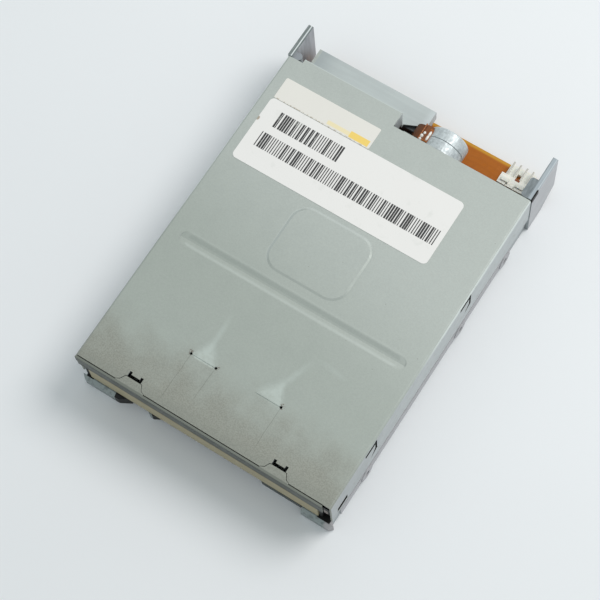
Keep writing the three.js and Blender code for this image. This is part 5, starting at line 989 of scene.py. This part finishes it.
def board_solder():
    """Solder joints and small parts on the underside of the main board."""
    low = corners("main_board")[0]
    bm = bmesh.new()
    signal = corners("signal_connector")
    middle_x, middle_y = (signal[0].x + signal[1].x) / 2, (signal[0].y + signal[1].y) / 2
    joints = [
        (middle_x + (k - 8) * PIN_PITCH, middle_y + row * 1.27 - 1.5)
        for k in range(17)
        for row in (-1, 1)
    ]
    for count in range(1, 5):
        pin = corners(f"power_pin_{count}")
        joints.append(((pin[0].x + pin[1].x) / 2, pin[0].y + 0.3))
    film = corners("film_connector")
    joints += [(film[0].x + 0.8 + k * 1.06, film[0].y + 1.2 + (k % 2) * 2.4) for k in range(7)]
    for x, y in joints:
        lump(bm, (x, y, low.z + 0.02), (0.75, 0.75, 0.7), 10, 5, 1.4, -1)
    piece("board_joints", bm, "frame", [solder], (), 60)

    bm = bmesh.new()
    R, C = 1, 2  # resistor and capacitor, by their places in the piece's list of materials
    spots = [
        (-40, 31, R), (-40, 34, R), (-36, 46, C), (-33, 50, R), (-29, 29, C), (-28, 47, R), (-19, 48, R),
        (-16, 48, R), (-13, 48, R), (-18, 25.5, C), (-12, 25.5, C), (23.5, 31, R), (23.5, 34, R),
        (27, 38, C), (30, 41, R), (34, 33, C), (38, 44, R), (38, 48, R), (41, 30, C), (36, 57, R),
        (39.5, 57, R), (24, 60, C), (20.5, 66, R), (12, 69, C),
    ]
    top = low.z + 0.01
    for x, y, kind in spots:
        dx, dy, deep = (1.0, 0.62, 0.5) if kind == R else (0.62, 1.0, 0.75)
        wide, long = dx * 0.72, dy * 0.95
        block(bm, (x - wide, y - long, low.z - deep), (x + wide, y + long, top), kind)
        cap = low.z - deep - 0.02
        for way in (-1, 1):
            if kind == R:
                block(bm, (x + way * dx - 0.3, y - dy, cap), (x + way * dx + 0.3, y + dy, top))
            else:
                block(bm, (x - dx, y + way * dy - 0.3, cap), (x + dx, y + way * dy + 0.3, top))
    piece("board_parts", bm, "frame", [solder, resistor_black, capacitor_tan], (), 30)


# Stepper motor's terminal: the film's flap over the block, with its soldered wires
def terminal():
    low, high = corners("terminal_block")
    film = corners("stepper_film")
    top = high.z
    bm = bmesh.new()
    block(bm, (high.x - 1.1, low.y + 0.4, top + 0.02), (high.x + 0.3, high.y - 0.9, top + 0.24), 0, 0.1)
    block(bm, (film[1].x + 0.1, low.y + 0.4, top + 0.02), (high.x - 1.0, low.y + 0.9, top + 0.2), 0, 0.05)
    piece("terminal_flap", bm, "frame", [looks["flex_film"]], (), 30)
    # the film's brown tail, bent down over the block's left edge
    bm = bmesh.new()
    rings = []
    for x, z in ((0.3, 0.12), (-0.8, 0.1), (-2.0, -0.45), (-3.0, -1.5), (-3.6, -3.0), (-3.9, -4.8)):
        edge, level = film[1].x + x, top + z
        outline = ((low.y + 0.5, -0.07), (high.y - 0.7, -0.07), (high.y - 0.7, 0.07), (low.y + 0.5, 0.07))
        rings.append([bm.verts.new(Vector((edge, y, level + lift)) * MM) for y, lift in outline])
    bridge(bm, rings)
    tail = plain_metal("film_brown", rgb(100, 55, 20), 0.55, 0.0, 0.8, 0.3, 0.4, 0.01).done()
    piece("terminal_tail", bm, "frame", [tail], (), 30)
    bm = bmesh.new()
    for x, y, wide, deep, tall in (
        (high.x - 0.38, low.y + 2.1, 0.5, 1.25, 0.6), (high.x - 0.32, low.y + 3.75, 0.5, 1.3, 0.65),
        (film[1].x + 0.35, low.y + 0.55, 0.55, 0.6, 0.6), (film[1].x + 0.3, low.y + 1.9, 0.65, 0.75, 0.7),
        (film[1].x + 0.7, low.y + 3.4, 0.5, 0.6, 0.4),
    ):
        lump(bm, (x, y, top + 0.1), (wide, deep, tall), 12, 6, 1.9, 1)
    piece("terminal_solder", bm, "frame", [solder_white], (), 60)


# Moulded shelf along the power connector's front, with two notches
def power_shelf():
    low, high = corners("power_connector")
    front, level = low.y - 1.2, high.z - 0.6
    bm = bmesh.new()
    cuts = [low.x + 0.1, low.x + 3.3, low.x + 3.9, low.x + 6.3, low.x + 6.9, high.x - 0.2]
    for k, (x0, x1) in enumerate(zip(cuts, cuts[1:])):
        block(bm, (x0, front, low.z + 0.02), (x1, low.y + 0.05, level - (0.4 if k % 2 else 0.0)), 0, 0.05)
    look = own_looks["power_connector"]
    piece("power_shelf", bm, "frame", [look], (), 30)


# Copper windings on the spindle motor's teeth
def windings():
    low, high = corners("stator")
    x, y = (low.x + high.x) / 2, (low.y + high.y) / 2
    z = (low.z + high.z) / 2
    bm = bmesh.new()
    teeth = 12
    for tooth in range(teeth):
        turn = 2 * math.pi * tooth / teeth
        out = Vector((math.cos(turn), math.sin(turn), 0))
        across = Vector((-math.sin(turn), math.cos(turn), 0))
        rings = []
        for far, swell in ((11.2, 0.6), (11.6, 0.9), (13.0, 1.0), (14.6, 1.0), (15.6, 0.9), (16.0, 0.6)):
            ring = []
            for k in range(12):
                angle = 2 * math.pi * k / 12
                c, s = math.cos(angle), math.sin(angle)
                wide = (1.25 + 0.85 * swell) * math.copysign(abs(c) ** 0.5, c)
                tall = (0.8 + 0.2 * swell) * math.copysign(abs(s) ** 0.5, s)
                spot = across * wide + Vector((0, 0, 1)) * tall
                ring.append(bm.verts.new((Vector((x, y, z)) + out * far + spot) * MM))
            rings.append(ring)
        bridge(bm, rings)
    piece("stator_windings", bm, "frame", [copper_wire()], (), 50)


lead_screw()
eject_springs()
arm_spring()
head_flex()
chip_leads()
board_solder()
terminal()
power_shelf()
windings()


# Floor, light and camera
def stage_floor():
    reach, level = 2, -0.0002
    bm = bmesh.new()
    for x, y in ((-1, -1), (1, -1), (1, 1), (-1, 1)):
        bm.verts.new((x * reach, y * reach, level))
    bm.faces.new(bm.verts)
    mesh = bpy.data.meshes.new("floor")
    bm.to_mesh(mesh)
    bm.free()
    floor = bpy.data.objects.new("floor", mesh)
    bpy.context.scene.collection.objects.link(floor)
    look = Look("floor", rgb(238, 240, 242), 0.8)
    look.shade(look.noise(60, 2), 0.99, 1.01)
    # painted shade: the floor a little darker toward the front, as the lamp's light falls off
    look.shade(look.ramp(look.axis("Y"), -150 * MM, 70 * MM, smooth=False), 0.955, 1.0)
    mesh.materials.append(look.done())


def area_light(name, place, size, power, colour):
    """A round lamp that looks at the drive."""
    data = bpy.data.lights.new(name, "AREA")
    data.shape = "DISK"
    data.size = size
    data.energy = power
    data.color = colour
    light = bpy.data.objects.new(name, data)
    light.location = place
    aim = Vector((0, 0, 0.01)) - Vector(place)
    light.rotation_euler = aim.to_track_quat("-Z", "Y").to_euler()
    bpy.context.scene.collection.objects.link(light)


def studio():
    world = bpy.data.worlds.new("studio")
    world.use_nodes = True
    sky = world.node_tree.nodes["Background"]
    sky.inputs["Color"].default_value = (0.90, 0.97, 0.985, 1)
    sky.inputs["Strength"].default_value = 0.62
    bpy.context.scene.world = world
    area_light("key", (0.48, 0.66, 1.05), 0.75, 9.0, (1.0, 0.97, 0.95))


def add_camera():
    """The pinhole camera that was fitted to the drive's outline in the photo."""
    data = bpy.data.cameras.new("camera")
    data.lens = 112.916
    data.sensor_width = 36
    data.clip_start = 0.01
    data.clip_end = 10
    camera = bpy.data.objects.new("camera", data)
    right = Vector((0.8401, 0.5401, -0.0497))
    up = Vector((-0.4905, 0.7957, 0.3554))
    back = Vector((0.2315, -0.2742, 0.9334))
    turn = Matrix((right, up, back)).transposed().to_4x4()
    place = (0.149117, -0.189296, 0.614292)
    camera.matrix_world = Matrix.Translation(place) @ turn
    bpy.context.scene.collection.objects.link(camera)
    bpy.context.scene.camera = camera


stage_floor()
studio()
add_camera()
bpy.context.scene.view_settings.view_transform = "Standard"
